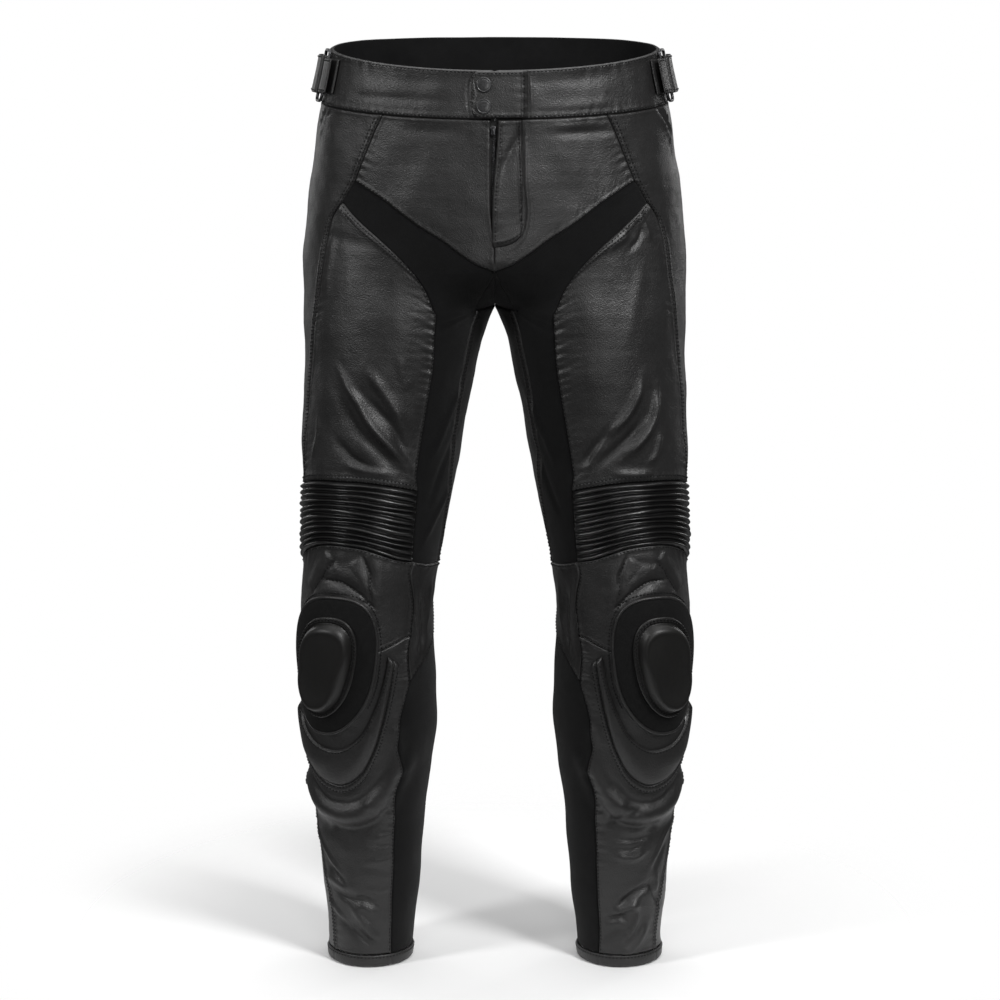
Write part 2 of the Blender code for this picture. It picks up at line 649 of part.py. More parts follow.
def knee_armour(half):
    at = side_name(half)
    low = LAYER_GAP + KNEE_CLEARANCE
    top = low + PATCH["thickness"]
    disc(
        f"hook_patch_{at}",
        PATCH,
        egg(PATCH, 28, 0.82, 0.12),
        [(share, low) for share in DISC_RINGS] + [(share, top) for share in DISC_RINGS[::-1]],
        "hook_cloth",
        half,
    )
    base = top + LAYER_GAP + KNEE_CLEARANCE
    rise = PUCK["height"]
    disc(
        f"knee_puck_{at}",
        PUCK,
        egg(PUCK, 28),
        (
            *[(share, base) for share in DISC_RINGS],
            (1.0, base + 0.22 * rise),
            (0.84, base + 0.42 * rise),
            (0.74, base + 0.86 * rise),
            (0.66, base + rise),
            (0.33, base + rise),
            (0.0, base + rise),
        ),
        "moulded_pad",
        half,
    )


def shin_pad(half):
    """The padded border that holds the knee armour from below."""
    outer = along_seam(SHIN_PAD["outer"], 16)
    inner = along_seam(SHIN_PAD["inner"], 16)
    places = patch(outer, inner, np.linspace(outer[0], inner[0], 3), np.linspace(outer[-1], inner[-1], 3))
    raised = np.zeros(places.shape[:2])
    raised[1, :] = SHIN_PAD["height"]
    lift = LAYER_GAP + 1.3 * KNEE_CLEARANCE + SHIN_PAD["edge"]
    panel(f"shin_pad_{side_name(half)}", places, SHIN_PAD["edge"], "leather", half, lift=lift, raised=raised)


def hem_band(half):
    turns = np.linspace(0, 1, 28, endpoint=False)
    rings = []
    for turn in turns:
        rings.append([cloth(turn, z, lift)[0] for z, lift in HEM_SECTION])
    rounded(f"hem_band_{side_name(half)}", mirrored(np.array(rings), half), "leather", closed_tube=True)


# The front opening and the waist adjusters

def front_turn(x, z):
    """The turn at which the front of the hips has this x."""
    half_width = sizes(TORSO, TORSO_COLUMNS, z)["half_width"]
    return np.arcsin(x / half_width) / np.pi


def front_places(xs, lows, highs, rows):
    """Places on the front of the hips: a column at each x, from a low to a high z."""
    share = np.linspace(0, 1, rows + 1)[:, None]
    z = (1 - share) * np.asarray(lows, float)[None] + share * np.asarray(highs, float)[None]
    return np.stack([front_turn(np.asarray(xs, float)[None], z), z], -1)


def front_opening():
    tape = FLY["tape_half_width"]
    zip_places = front_places((-tape, 0, tape), (FLY["tape_end_z"],) * 3, (-34,) * 3, 6)
    panel("fly_zip", zip_places, FLY["tape"], "zip", lift=-(LEATHER + 3 * LAYER_GAP))

    left, right, turn_z = FLY["placket_left"], FLY["placket_right"], FLY["curve_z"]
    xs = np.linspace(left, right, 6)
    across = (xs - left) / (right - left)
    lows = turn_z - FLY["curve_drop"] * np.sqrt(np.clip(1 - across ** 2, 0, 1))
    highs = level(WAIST_SEAM, front_turn(xs, -32.0)) - 0.5
    panel("fly_placket", front_places(xs, lows, highs, 6), LEATHER, "leather", lift=LAYER_GAP + LEATHER + 0.2)

    left, right, corner = TAB["left"], TAB["right"], TAB["corner"]
    xs = np.concatenate([left + corner * (1 - np.cos(np.linspace(0, np.pi / 2, 4))), np.linspace(left + corner, right, 5)[1:]])
    drop = corner * (1 - np.sqrt(np.clip(1 - (1 - np.clip((xs - left) / corner, 0, 1)) ** 2, 0, 1)))
    turns = front_turn(xs, 0.0)
    lows, highs = level(WAIST_SEAM, turns) + 1.0 + 0.96 * drop, level(RIM, turns) - 1.0 - 0.96 * drop
    lift = BAND_LIFT + LAYER_GAP + 0.2 + TAB["thickness"]
    panel("waist_tab", front_places(xs, lows, highs, 4), TAB["thickness"], "leather", lift=lift)
    for name, z in (("snap_upper", TAB["snap_high_z"]), ("snap_lower", TAB["snap_low_z"])):
        button(name, front_turn(TAB["snap_x"], z), z, lift + LAYER_GAP)

    slider = front_places((-4.0, 0.5), (FLY["slider_z"] - 5.0,) * 2, (FLY["slider_z"] + 5.0,) * 2, 2)
    panel("zip_slider", slider, FLY["slider"], "dark_metal", lift=FLY["slider"] - LEATHER)


def button(name, turn, z, height):
    """A round press stud that stands on the cloth."""
    base, out = cloth(turn, z, height)
    bm = bmesh.new()
    bmesh.ops.create_cone(
        bm, cap_ends=True, segments=20, radius1=SNAP["radius"], radius2=SNAP["radius"] * 0.8, depth=SNAP["height"]
    )
    side = unit(np.cross((0.0, 0.0, 1.0), out))
    up = np.cross(out, side)
    for vertex in bm.verts:
        x, y, depth = vertex.co
        vertex.co = (base + side * x + up * y + out * (depth + SNAP["height"] / 2)) * MM
    finish(name, bm, "dark_metal")


def waist_place(arc, height, z):
    """A place at the side of the waist: arc is measured towards the back, height from the band."""
    turn = ADJUSTER["turn"] + arc / ADJUSTER["arc_of_turn"]
    return cloth(turn, z, BAND_LIFT + height)[0]


def looped_strap(name, path, z_low, z_high, half):
    """A strap whose middle line runs along path, as (arc, height), folded round a bar."""
    path = np.array(path, float)
    along = unit(np.gradient(path, axis=0))
    across = np.stack([-along[:, 1], along[:, 0]], 1) * ADJUSTER["strap"] / 2
    grids = []
    for side in (1, -1):
        line = path + side * across
        grids.append(np.array([[waist_place(arc, height, z) for arc, height in line] for z in (z_low, z_high)]))
    wall(name, mirrored(grids[0], half), mirrored(grids[1], half), "leather")


def adjuster(half):
    at = side_name(half)
    bar, bend = ADJUSTER["bar_height"], ADJUSTER["bend"]
    front_bar, back_bar = ADJUSTER["front_bar"], ADJUSTER["back_bar"]
    turned = np.linspace(-np.pi / 2, np.pi / 2, 7)
    flat = bar - bend
    front = [(front_bar - 20, flat), (front_bar - 6, flat)]
    front += [(front_bar + bend * np.cos(a), bar + bend * np.sin(a)) for a in turned]
    front += [(front_bar - 6, bar + bend), (front_bar - 16, bar + bend)]
    looped_strap(f"adjuster_tab_{at}", front, *ADJUSTER["tab_z"], half)
    back = [(back_bar + 46, flat), (back_bar + 26, flat), (back_bar + 6, flat)]
    back += [(back_bar - bend * np.cos(a), bar + bend * np.sin(a)) for a in turned]
    back += [(back_bar + 8, bar + bend + 1), (back_bar + 22, bar + bend + 2), (back_bar + 38, bar + bend)]
    looped_strap(f"adjuster_strap_{at}", back, *ADJUSTER["strap_z"], half)

    low, high = ADJUSTER["ring_z"]
    radius, corner = ADJUSTER["wire"] / 2, 5.0
    corners = ((front_bar, low), (back_bar, low), (back_bar, high), (front_bar, high))
    path = []
    for k, (arc, z) in enumerate(corners):
        start = -np.pi / 2 - np.pi / 2 + k * np.pi / 2
        middle = (arc + corner * (1, -1, -1, 1)[k], z + corner * (1, 1, -1, -1)[k])
        for a in np.linspace(start, start + np.pi / 2, 4):
            path.append((middle[0] + corner * np.cos(a), middle[1] + corner * np.sin(a)))
    places = np.array([waist_place(arc, bar, z) for arc, z in path])
    along = unit(np.roll(places, -1, 0) - np.roll(places, 1, 0))
    out = unit(np.cross(along, np.roll(along, 4, 0)).sum(0))
    rings = []
    for centre, direction in zip(places, along):
        side = unit(np.cross(out, direction))
        rings.append([centre + radius * (side * np.cos(a) + out * np.sin(a)) for a in np.linspace(0, 2 * np.pi, 8, endpoint=False)])
    rounded(f"adjuster_ring_{at}", mirrored(np.array(rings), half), "dark_metal", closed_tube=True)


GARMENT = bpy.data.collections.new("Motorcycle trousers")


def main():
    clear_scene()
    bpy.context.scene.collection.children.link(GARMENT)
    for half in (1, -1):
        hips(half)
        thigh(half)
        ribbed_panel(half)
        lower_leg(half)
        hem_band(half)
        knee_armour(half)
        shin_pad(half)
        adjuster(half)
    front_opening()
    panel("waistband_back", band(np.linspace(0.42, 1.58, 19)), BAND, "leather", lift=BAND_LIFT)


main()
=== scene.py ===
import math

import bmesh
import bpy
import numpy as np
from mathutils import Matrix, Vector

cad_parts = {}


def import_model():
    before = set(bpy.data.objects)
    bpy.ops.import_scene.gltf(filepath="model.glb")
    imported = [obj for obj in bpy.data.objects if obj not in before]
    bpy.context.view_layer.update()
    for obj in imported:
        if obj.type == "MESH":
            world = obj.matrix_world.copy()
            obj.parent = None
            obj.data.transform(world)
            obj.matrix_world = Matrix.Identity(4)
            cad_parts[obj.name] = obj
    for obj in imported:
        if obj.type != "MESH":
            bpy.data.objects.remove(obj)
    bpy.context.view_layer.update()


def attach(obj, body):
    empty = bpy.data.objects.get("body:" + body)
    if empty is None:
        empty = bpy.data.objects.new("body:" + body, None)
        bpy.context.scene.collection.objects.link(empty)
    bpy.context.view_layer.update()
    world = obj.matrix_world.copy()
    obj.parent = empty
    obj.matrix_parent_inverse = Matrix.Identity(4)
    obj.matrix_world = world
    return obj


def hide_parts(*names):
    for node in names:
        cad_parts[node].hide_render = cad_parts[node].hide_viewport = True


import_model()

# Looks of the motorcycle trousers. Every cut piece is drawn again as a fine sheet with rolled
# edges, puckers, creases and stitches. Sizes are in millimetres until a mesh is made.
#
# A place on one half of the garment is a pair (turn, z), as in the solids: turn is the share of
# the way round (on a leg 0 is the inseam, 0.25 the front, 0.5 the outer side, on the hips 0 is
# the centre front and 1 the centre back), z the height above the waist mount. Half 1 is the
# wearer's left, half -1 the wearer's right.

MM = 0.001
BODY = "root"

CROTCH_Z = -236.0
HEM_SEAM_Z = -963.0
HEM_Z = -976.0
SEAM_GAP = 0.06
LAYER_GAP = 0.3
LEATHER = 2.0
STRETCH = 1.6
BAND = 3.0
BAND_LIFT = 1.0

# How many fine stretches each seam stretch gets, and the length that one turn counts for
FINE = 8
TURN_LENGTH = 500.0

LEG_COLUMNS = ("z", "inner_x", "outer_x", "middle_y", "front_y", "back_y")
LEG = (
    (-980, 95.0, 187.0, 12.0, -37.0, 63.0),
    (-935, 90.0, 188.5, 12.0, -39.0, 65.0),
    (-890, 84.5, 192.5, 11.0, -44.0, 69.0),
    (-840, 80.4, 196.8, 9.0, -51.0, 73.0),
    (-790, 76.0, 201.0, 5.0, -60.0, 75.0),
    (-748, 69.7, 206.0, 0.0, -69.0, 73.0),
    (-700, 64.0, 211.0, -9.0, -82.0, 66.0),
    (-650, 64.3, 211.0, -19.0, -93.0, 56.0),
    (-605, 66.5, 212.0, -27.0, -100.0, 50.0),
    (-560, 67.5, 211.5, -30.0, -104.0, 50.0),
    (-515, 61.0, 209.0, -29.0, -104.0, 57.0),
    (-475, 53.8, 208.5, -25.0, -103.0, 66.0),
    (-432, 44.5, 208.5, -20.0, -103.0, 77.0),
    (-392, 37.5, 209.5, -14.0, -104.0, 89.0),
    (-342, 28.3, 208.0, -8.0, -107.0, 103.0),
    (-293, 17.9, 206.5, -3.0, -110.0, 116.0),
    (-260, 9.2, 206.7, 0.0, -113.0, 126.0),
    (-236, 0.0, 207.0, 2.0, -116.0, 132.0),
)
TORSO_COLUMNS = ("z", "half_width", "front_y", "back_y")
TORSO = (
    (-300, 207.0, -125.0, 140.0),
    (-240, 207.0, -124.0, 139.0),
    (-200, 206.5, -123.0, 140.0),
    (-150, 203.5, -121.0, 137.0),
    (-100, 197.8, -118.0, 131.0),
    (-50, 190.3, -115.0, 124.0),
    (-18, 185.0, -113.0, 120.0),
    (20, 176.5, -110.5, 115.0),
    (50, 171.5, -108.5, 112.0),
)
CROTCH_CURVE = {"front": 62.0, "back": 105.0}
THIGH_BLEND = (-310.0, -120.0)

# The share of a turn beside the middle where the crotch's round curve gives way to the thigh
CURVE_TURNS = 0.2

# Above this height, normals at the middle need no care, because the two halves meet smoothly
HALVES_MEET_Z = -60.0

# Heights over the hips: the rim, the waist seam, and the dome over the knee
RIM = {"front": 18.0, "side": 38.0, "back": 46.0}
WAIST_SEAM = {"front": -32.0, "side": -18.0, "back": -10.0}
DOME = {"turn": 0.36, "z": -612.0, "height": 7.0, "half_width": 82.0, "half_height": 96.0, "slope": 1.25}

# Large folds of both legs: height, half width, points (turn, z) of the ridge
FOLDS = (
    (7.0, 13.0, ((0.16, -738), (0.20, -772), (0.27, -791), (0.34, -795), (0.42, -787), (0.49, -770))),
    (-3.0, 12.0, ((0.22, -812), (0.31, -820), (0.40, -814))),
    (3.5, 7.0, ((0.182, -694), (0.177, -716), (0.187, -740), (0.212, -762), (0.25, -778))),
    (-3.0, 6.0, ((0.172, -750), (0.192, -778), (0.228, -802), (0.29, -812), (0.36, -811))),
    (-5.0, 14.0, ((0.60, -520), (0.72, -530), (0.85, -522))),
    (-4.0, 13.0, ((0.62, -572), (0.74, -580), (0.86, -566))),
    (-4.0, 13.0, ((0.64, -468), (0.76, -480), (0.88, -474))),
    (-4.0, 14.0, ((0.64, -268), (0.76, -290), (0.90, -282))),
    (-3.0, 12.0, ((0.62, -830), (0.72, -846), (0.84, -836))),
    (-3.0, 11.0, ((0.60, -905), (0.72, -915), (0.86, -900))),
)

# Creases of each half: height, half width, points (turn, z) along it
CREASES = {
    -1: (
        (5.0, 6.0, ((0.345, -294), (0.324, -311), (0.299, -328), (0.280, -345), (0.251, -364),
            (0.224, -379), (0.199, -394), (0.179, -411))),
        (-3.2, 8.0, ((0.345, -318), (0.325, -338), (0.300, -358), (0.265, -374), (0.231, -392),
            (0.203, -407))),
        (3.2, 7.0, ((0.290, -290), (0.264, -310), (0.242, -326), (0.220, -343), (0.195, -363))),
        (-2.2, 6.0, ((0.290, -320), (0.262, -337), (0.232, -354), (0.206, -374), (0.188, -390))),
        (-2.4, 6.0, ((0.345, -368), (0.315, -384), (0.285, -395), (0.249, -402))),
        (2.0, 6.0, ((0.320, -397), (0.264, -403), (0.215, -408))),
        (1.2, 8.0, ((0.231, -278), (0.220, -299), (0.201, -318))),
        (-0.9, 9.0, ((0.349, -158), (0.290, -160), (0.229, -165))),
        (1.0, 3.5, ((0.393, -343), (0.396, -375), (0.414, -400))),
        (-0.5, 5.0, ((0.385, -526), (0.340, -523), (0.302, -525), (0.265, -534), (0.226, -551))),
        (1.0, 8.0, ((0.300, -506), (0.275, -514), (0.252, -526), (0.238, -540))),
        (-0.4, 3.5, ((0.276, -494), (0.251, -508), (0.242, -522), (0.230, -546))),
        (-2.4, 6.0, ((0.385, -886), (0.345, -894), (0.310, -897), (0.270, -897), (0.234, -903),
            (0.209, -910))),
        (1.5, 7.5, ((0.440, -876), (0.380, -880), (0.329, -882), (0.292, -887))),
        (1.8, 7.0, ((0.310, -906), (0.266, -907), (0.225, -914))),
        (3.2, 6.5, ((0.320, -905), (0.290, -916), (0.265, -927), (0.245, -937), (0.210, -950))),
        (-2.8, 7.0, ((0.375, -920), (0.325, -931), (0.279, -941), (0.225, -952))),
        (1.6, 4.0, ((0.486, -822), (0.426, -841), (0.380, -857), (0.335, -875))),
        (-1.8, 6.0, ((0.410, -858), (0.357, -873), (0.315, -887))),
        (1.4, 4.0, ((0.450, -898), (0.401, -910), (0.345, -924), (0.300, -940))),
        (0.9, 3.6, ((0.172, -818), (0.205, -821), (0.236, -824))),
        (1.1, 3.6, ((0.172, -847), (0.205, -849), (0.252, -851))),
        (1.2, 3.8, ((0.176, -884), (0.217, -886), (0.266, -884))),
        (-1.0, 4.5, ((0.172, -832), (0.217, -831), (0.273, -828))),
        (-1.1, 4.5, ((0.174, -866), (0.219, -861), (0.279, -857))),
        (1.7, 3.6, ((0.352, -18), (0.392, -28), (0.415, -46), (0.425, -62))),
        (1.4, 3.2, ((0.380, -18), (0.418, -28), (0.440, -46))),
        (-1.2, 4.5, ((0.365, -20), (0.405, -36), (0.424, -56))),
        (1.0, 8.0, ((0.315, -150), (0.345, -190), (0.372, -225))),
        (-0.5, 8.0, ((0.045, 6), (0.115, 7), (0.185, 8), (0.324, 11))),
        (-0.7, 6.0, ((0.045, -15), (0.115, -13), (0.180, -12), (0.330, -8))),
        (-0.9, 7.0, ((0.185, -42), (0.115, -44), (0.050, -44))),
        (-3.0, 7.0, ((0.095, -540), (0.090, -590), (0.110, -612))),
        (2.2, 6.0, ((0.118, -532), (0.104, -575), (0.118, -618))),
        (1.6, 5.0, ((0.060, -528), (0.055, -560), (0.072, -585))),
        (-1.6, 5.0, ((0.040, -523), (0.030, -545), (0.045, -572))),
        (1.2, 7.0, ((0.060, -300), (0.105, -352), (0.140, -400))),
        (-1.2, 7.0, ((0.050, -350), (0.100, -405), (0.128, -452))),
        (1.4, 6.0, ((0.040, -420), (0.085, -455), (0.125, -492))),
        (-2.0, 7.0, ((0.66, -496), (0.74, -506), (0.83, -498))),
        (2.4, 7.0, ((0.63, -548), (0.72, -554), (0.84, -544))),
        (2.0, 6.0, ((0.58, -598), (0.68, -604), (0.79, -592))),
        (-1.8, 6.0, ((0.60, -438), (0.70, -450), (0.80, -446))),
        (2.0, 8.0, ((0.66, -306), (0.74, -318), (0.85, -312))),
        (-1.6, 8.0, ((0.62, -352), (0.70, -372), (0.78, -378))),
        (1.8, 7.0, ((0.64, -866), (0.74, -872), (0.83, -862))),
        (-1.6, 6.0, ((0.60, -782), (0.70, -790), (0.80, -780))),
        (1.6, 6.0, ((0.62, -930), (0.73, -938), (0.84, -928))),
        (1.4, 10.0, ((0.70, -90), (0.78, -140), (0.90, -190))),
        (-1.4, 10.0, ((0.72, -150), (0.82, -190), (0.94, -214))),
        (-1.2, 8.0, ((0.80, -30), (0.86, -52), (0.93, -66))),
        (-1.2, 2.5, ((0.040, -30), (0.0455, -20), (0.0455, 8), (0.040, 17))),
        (-2.4, 5.0, ((0.205, -738), (0.238, -760), (0.272, -775), (0.315, -781), (0.370, -780),
            (0.430, -768), (0.480, -750))),
    ),
    1: (
        (3.6, 6.0, ((0.325, -300), (0.318, -314), (0.306, -328), (0.288, -343), (0.265, -355),
            (0.232, -369))),
        (-3.2, 6.0, ((0.262, -350), (0.246, -361), (0.225, -373), (0.205, -386), (0.180, -404))),
        (4.6, 6.5, ((0.358, -312), (0.352, -330), (0.343, -347), (0.324, -363), (0.300, -376),
            (0.265, -391))),
        (-2.6, 7.0, ((0.323, -343), (0.302, -360), (0.271, -375), (0.240, -389), (0.205, -405))),
        (2.2, 5.5, ((0.360, -362), (0.352, -378), (0.342, -390), (0.325, -396))),
        (1.9, 6.0, ((0.245, -405), (0.295, -407), (0.340, -407))),
        (1.6, 5.5, ((0.268, -130), (0.290, -146), (0.309, -163))),
        (1.5, 6.5, ((0.208, -168), (0.231, -160), (0.254, -151))),
        (-1.4, 5.0, ((0.252, -171), (0.273, -161), (0.282, -143))),
        (0.9, 12.0, ((0.291, -175), (0.296, -222), (0.301, -275))),
        (0.6, 6.5, ((0.236, -524), (0.250, -508), (0.271, -499), (0.302, -497), (0.333, -500),
            (0.360, -511), (0.380, -532))),
        (-0.6, 5.0, ((0.210, -560), (0.240, -546), (0.275, -532), (0.318, -523), (0.366, -525))),
        (0.9, 7.0, ((0.272, -514), (0.301, -509), (0.330, -509))),
        (0.8, 7.0, ((0.262, -544), (0.302, -536), (0.350, -536))),
        (-2.0, 5.5, ((0.190, -812), (0.224, -803), (0.266, -793), (0.314, -785))),
        (1.8, 4.5, ((0.240, -810), (0.294, -816), (0.353, -811))),
        (-1.6, 4.5, ((0.223, -822), (0.295, -826), (0.360, -822))),
        (2.0, 4.5, ((0.230, -843), (0.292, -847), (0.338, -840))),
        (-1.6, 4.0, ((0.231, -834), (0.279, -836), (0.326, -831))),
        (-3.4, 6.0, ((0.225, -912), (0.255, -903), (0.290, -893), (0.335, -885), (0.380, -878))),
        (3.4, 6.5, ((0.220, -914), (0.252, -908), (0.290, -904), (0.330, -908))),
        (-3.0, 5.0, ((0.190, -922), (0.225, -920), (0.255, -918), (0.284, -922))),
        (3.0, 5.5, ((0.298, -904), (0.308, -918), (0.296, -931), (0.250, -947))),
        (-1.8, 6.0, ((0.180, -944), (0.220, -936), (0.268, -930))),
        (2.6, 7.0, ((0.235, -958), (0.285, -957), (0.330, -943), (0.365, -925))),
        (1.6, 3.8, ((0.500, -812), (0.440, -820), (0.400, -832), (0.372, -849), (0.345, -866))),
        (-1.5, 5.0, ((0.430, -834), (0.398, -850), (0.366, -868))),
        (1.8, 4.5, ((0.381, -868), (0.384, -882), (0.379, -896))),
        (-2.0, 4.5, ((0.352, -874), (0.383, -897), (0.438, -916))),
        (1.7, 3.6, ((0.384, -18), (0.420, -32), (0.437, -54), (0.446, -72))),
        (1.4, 3.2, ((0.348, -22), (0.392, -38), (0.428, -58), (0.446, -82))),
        (-1.3, 4.5, ((0.366, -20), (0.405, -34), (0.432, -56))),
        (-0.6, 8.0, ((0.035, 6), (0.064, 6), (0.143, 8), (0.290, 14))),
        (0.5, 6.0, ((0.060, -20), (0.138, -19), (0.240, -15))),
        (0.6, 5.5, ((0.070, -39), (0.155, -38), (0.228, -36))),
        (-1.0, 6.0, ((0.095, -47), (0.174, -46), (0.241, -45))),
        (-1.5, 7.0, ((0.012, -92), (0.022, -72), (0.040, -52), (0.052, -38))),
        (-3.0, 7.0, ((0.092, -535), (0.086, -585), (0.104, -612))),
        (2.4, 6.0, ((0.120, -530), (0.100, -570), (0.112, -615))),
        (1.4, 5.0, ((0.062, -530), (0.052, -562), (0.070, -588))),
        (1.2, 7.0, ((0.052, -310), (0.098, -364), (0.134, -412))),
        (-1.2, 7.0, ((0.045, -362), (0.090, -420), (0.126, -466))),
        (-1.8, 7.0, ((0.65, -500), (0.73, -512), (0.82, -505))),
        (2.2, 7.0, ((0.64, -550), (0.74, -558), (0.85, -548))),
        (2.2, 6.0, ((0.59, -602), (0.69, -610), (0.80, -600))),
        (-2.0, 6.0, ((0.60, -432), (0.69, -442), (0.81, -440))),
        (1.8, 8.0, ((0.64, -300), (0.73, -312), (0.86, -306))),
        (-1.8, 8.0, ((0.60, -362), (0.69, -380), (0.80, -384))),
        (2.0, 7.0, ((0.62, -860), (0.73, -868), (0.84, -858))),
        (-1.4, 6.0, ((0.61, -776), (0.72, -786), (0.81, -778))),
        (1.8, 6.0, ((0.60, -926), (0.72, -936), (0.85, -924))),
        (1.6, 10.0, ((0.68, -100), (0.77, -146), (0.88, -188))),
        (-1.2, 10.0, ((0.71, -160), (0.80, -196), (0.93, -216))),
        (-1.4, 8.0, ((0.78, -28), (0.85, -48), (0.92, -64))),
        (1.1, 2.0, ((0.0655, -31), (0.0660, -5), (0.0665, 16))),
        (1.1, 2.0, ((0.0545, -36), (0.0525, -90), (0.0510, -146), (0.0430, -158), (0.0250, -166),
            (0.0050, -169))),
        (-2.4, 5.0, ((0.205, -738), (0.238, -760), (0.272, -775), (0.315, -781), (0.370, -780),
            (0.430, -768), (0.480, -750))),
    ),
}

# How much the creases above are raised and narrowed, how many half widths from its line a fold
# is worked out, and the least length of a turn there
CREASE_GAIN = {"height": 1.35, "width": 0.78}
FOLD_REACH = 2.6
LEAST_TURN_LENGTH = 300.0

# Sewn lines of the knee cup, which pull the padding in: points of each
QUILT = (
    ((0.334, -501), (0.354, -512), (0.370, -523), (0.385, -533), (0.394, -541)),
    ((0.372, -523), (0.338, -523), (0.309, -525), (0.275, -533), (0.260, -537), (0.238, -547),
        (0.223, -554)),
    ((0.268, -494), (0.254, -507), (0.245, -516), (0.242, -531), (0.236, -545)),
)
QUILT_AREA = {"turn": (0.18, 0.45), "z": (-575.0, -486.0)}
QUILT_SHAPE = {
    "groove": 1.9,
    "groove_width": 1.5,
    "swell": 1.9,
    "swell_at": 9.0,
    "swell_width": 7.5,
    "end_fade": 0.12,
    "end_share": 0.2,
}

# The edges of a piece: depth and width of the rolled edge, the height of the raised seam with and
# without stitches, height and reach of the puckers
EDGES = {
    "leather": {"roll": (1.35, 1.0), "seam": (0.85, 0.5), "pucker": (0.45, 6.5)},
    "other": {"roll": (0.7, 1.1), "seam": (0.0, 0.0), "pucker": (0.22, 5.0)},
}
NEEDLE_GROOVE = {"depth": 0.5, "width": 0.6}

# Lines of a grid beside an edge and beside a row of stitches, as distances in millimetres
EDGE_LINES = (0.0, 0.45, 1.0, 1.5)
STITCH_LINES = 0.45
LAST_LINE = 1.2

# Seam lines: how many stretches, points (turn, z). None is the height of the waist seam.
SEAMS = {
    "fly_edge": (5, ((0.007, None), (0.007, -90), (0.006, -130), (0.0, -158), (0.0, -190))),
    "side_above_v": (5, ((0.215, None), (0.228, -43), (0.240, -60), (0.253, -79), (0.267, -98))),
    "side_at_v": (4, ((0.267, -98), (0.283, -110), (0.297, -121))),
    "side_thigh": (12, ((0.297, -121), (0.322, -135), (0.338, -153), (0.361, -186), (0.390, -226),
        (0.413, -269), (0.431, -335), (0.448, -401), (0.460, -426))),
    "yoke_base": (6, ((0.267, -98), (0.228, -108), (0.194, -118), (0.163, -130), (0.126, -145),
        (0.090, -158), (0.057, -172), (0.028, -183), (0.0, -190))),
    "thigh_top": (6, ((0.297, -121), (0.273, -131), (0.249, -141), (0.210, -159), (0.180, -178),
        (0.161, -195))),
    "thigh_inner": (12, ((0.161, -195), (0.152, -212), (0.156, -235), (0.161, -258), (0.165, -300),
        (0.165, -350), (0.167, -393), (0.167, -412), (0.160, -427))),
    "rib_inner": (3, ((0.160, -427), (0.144, -504))),
    "rib_outer": (3, ((0.560, -438), (0.560, -524))),
    "rib_top": (6, ((0.160, -427), (0.201, -422), (0.243, -418), (0.284, -416), (0.327, -416),
        (0.381, -418), (0.430, -422), (0.460, -426))),
    "rib_top_side": (3, ((0.460, -426), (0.560, -438))),
    "rib_base": (9, ((0.144, -504), (0.192, -499), (0.228, -493), (0.262, -488), (0.309, -485),
        (0.362, -486), (0.421, -494), (0.491, -509), (0.560, -524))),
    "gusset_top": (2, ((0.0, -190), (0.012, -206), (0.028, -218))),
    "gusset_side": (2, ((0.028, -218), (0.052, -229), (0.081, -236))),
    "gusset_base": (2, ((0.0, -236), (0.081, -236))),
    "gusset_centre": (2, ((0.0, -190), (0.0, -236))),
    "inseam": (11, ((0.081, -236), (0.088, -260), (0.090, -284), (0.087, -325), (0.080, -370),
        (0.066, -421), (0.052, -456), (0.037, -490), (0.038, -513))),
    "knee_inner_top": (4, ((0.144, -504), (0.095, -510), (0.038, -513))),
    "seat_side": (13, ((0.620, None), (0.600, -245))),
    "back_side": (8, ((0.600, -245), (0.560, -438))),
    "seat_base": (7, ((0.600, -245), (0.70, -262), (0.82, -266), (0.93, -250), (1.0, -236))),
    "centre_back": (13, ((1.0, None), (1.0, -236))),
    "knee_back_inner": (2, ((0.038, -513), (-0.110, -524))),
    "knee_back": (7, ((-0.110, -524), (-0.27, -532), (-0.440, -524))),
    "knee_inner": (6, ((0.144, -504), (0.148, -518), (0.134, -535), (0.121, -558), (0.130, -586))),
    "knee_inner_low": (6, ((0.130, -586), (0.141, -607), (0.142, -625), (0.141, -638))),
    "knee_cross": (9, ((0.130, -586), (0.161, -590), (0.193, -596), (0.23, -601), (0.30, -606),
        (0.42, -608), (0.530, -610))),
    "knee_outer": (6, ((0.560, -524), (0.530, -610))),
    "calf_top": (6, ((0.141, -638), (0.104, -622), (0.055, -605), (0.0, -583), (-0.110, -524))),
    "shin_inner": (12, ((0.141, -638), (0.157, -658), (0.169, -675), (0.178, -699), (0.181, -712),
        (0.173, -730), (0.169, -748), (0.177, -762), (0.179, -778), (0.173, -800), (0.173, -814),
        (0.174, -855), (0.174, -895), (0.171, -935), (0.164, HEM_SEAM_Z))),
    "shin_outer": (18, ((0.530, -610), (0.515, -700), (0.487, -790), (0.461, -833), (0.434, -872),
        (0.412, -903), (0.405, -925), (0.405, HEM_SEAM_Z))),
    "calf_back": (12, ((-0.110, -524), (-0.220, HEM_SEAM_Z))),
    "hem_shin": (9, ((0.164, HEM_SEAM_Z), (0.405, HEM_SEAM_Z))),
    "hem_calf": (6, ((0.164, HEM_SEAM_Z), (-0.220, HEM_SEAM_Z))),
    "hem_outer": (7, ((-0.220, HEM_SEAM_Z), (-0.595, HEM_SEAM_Z))),
}

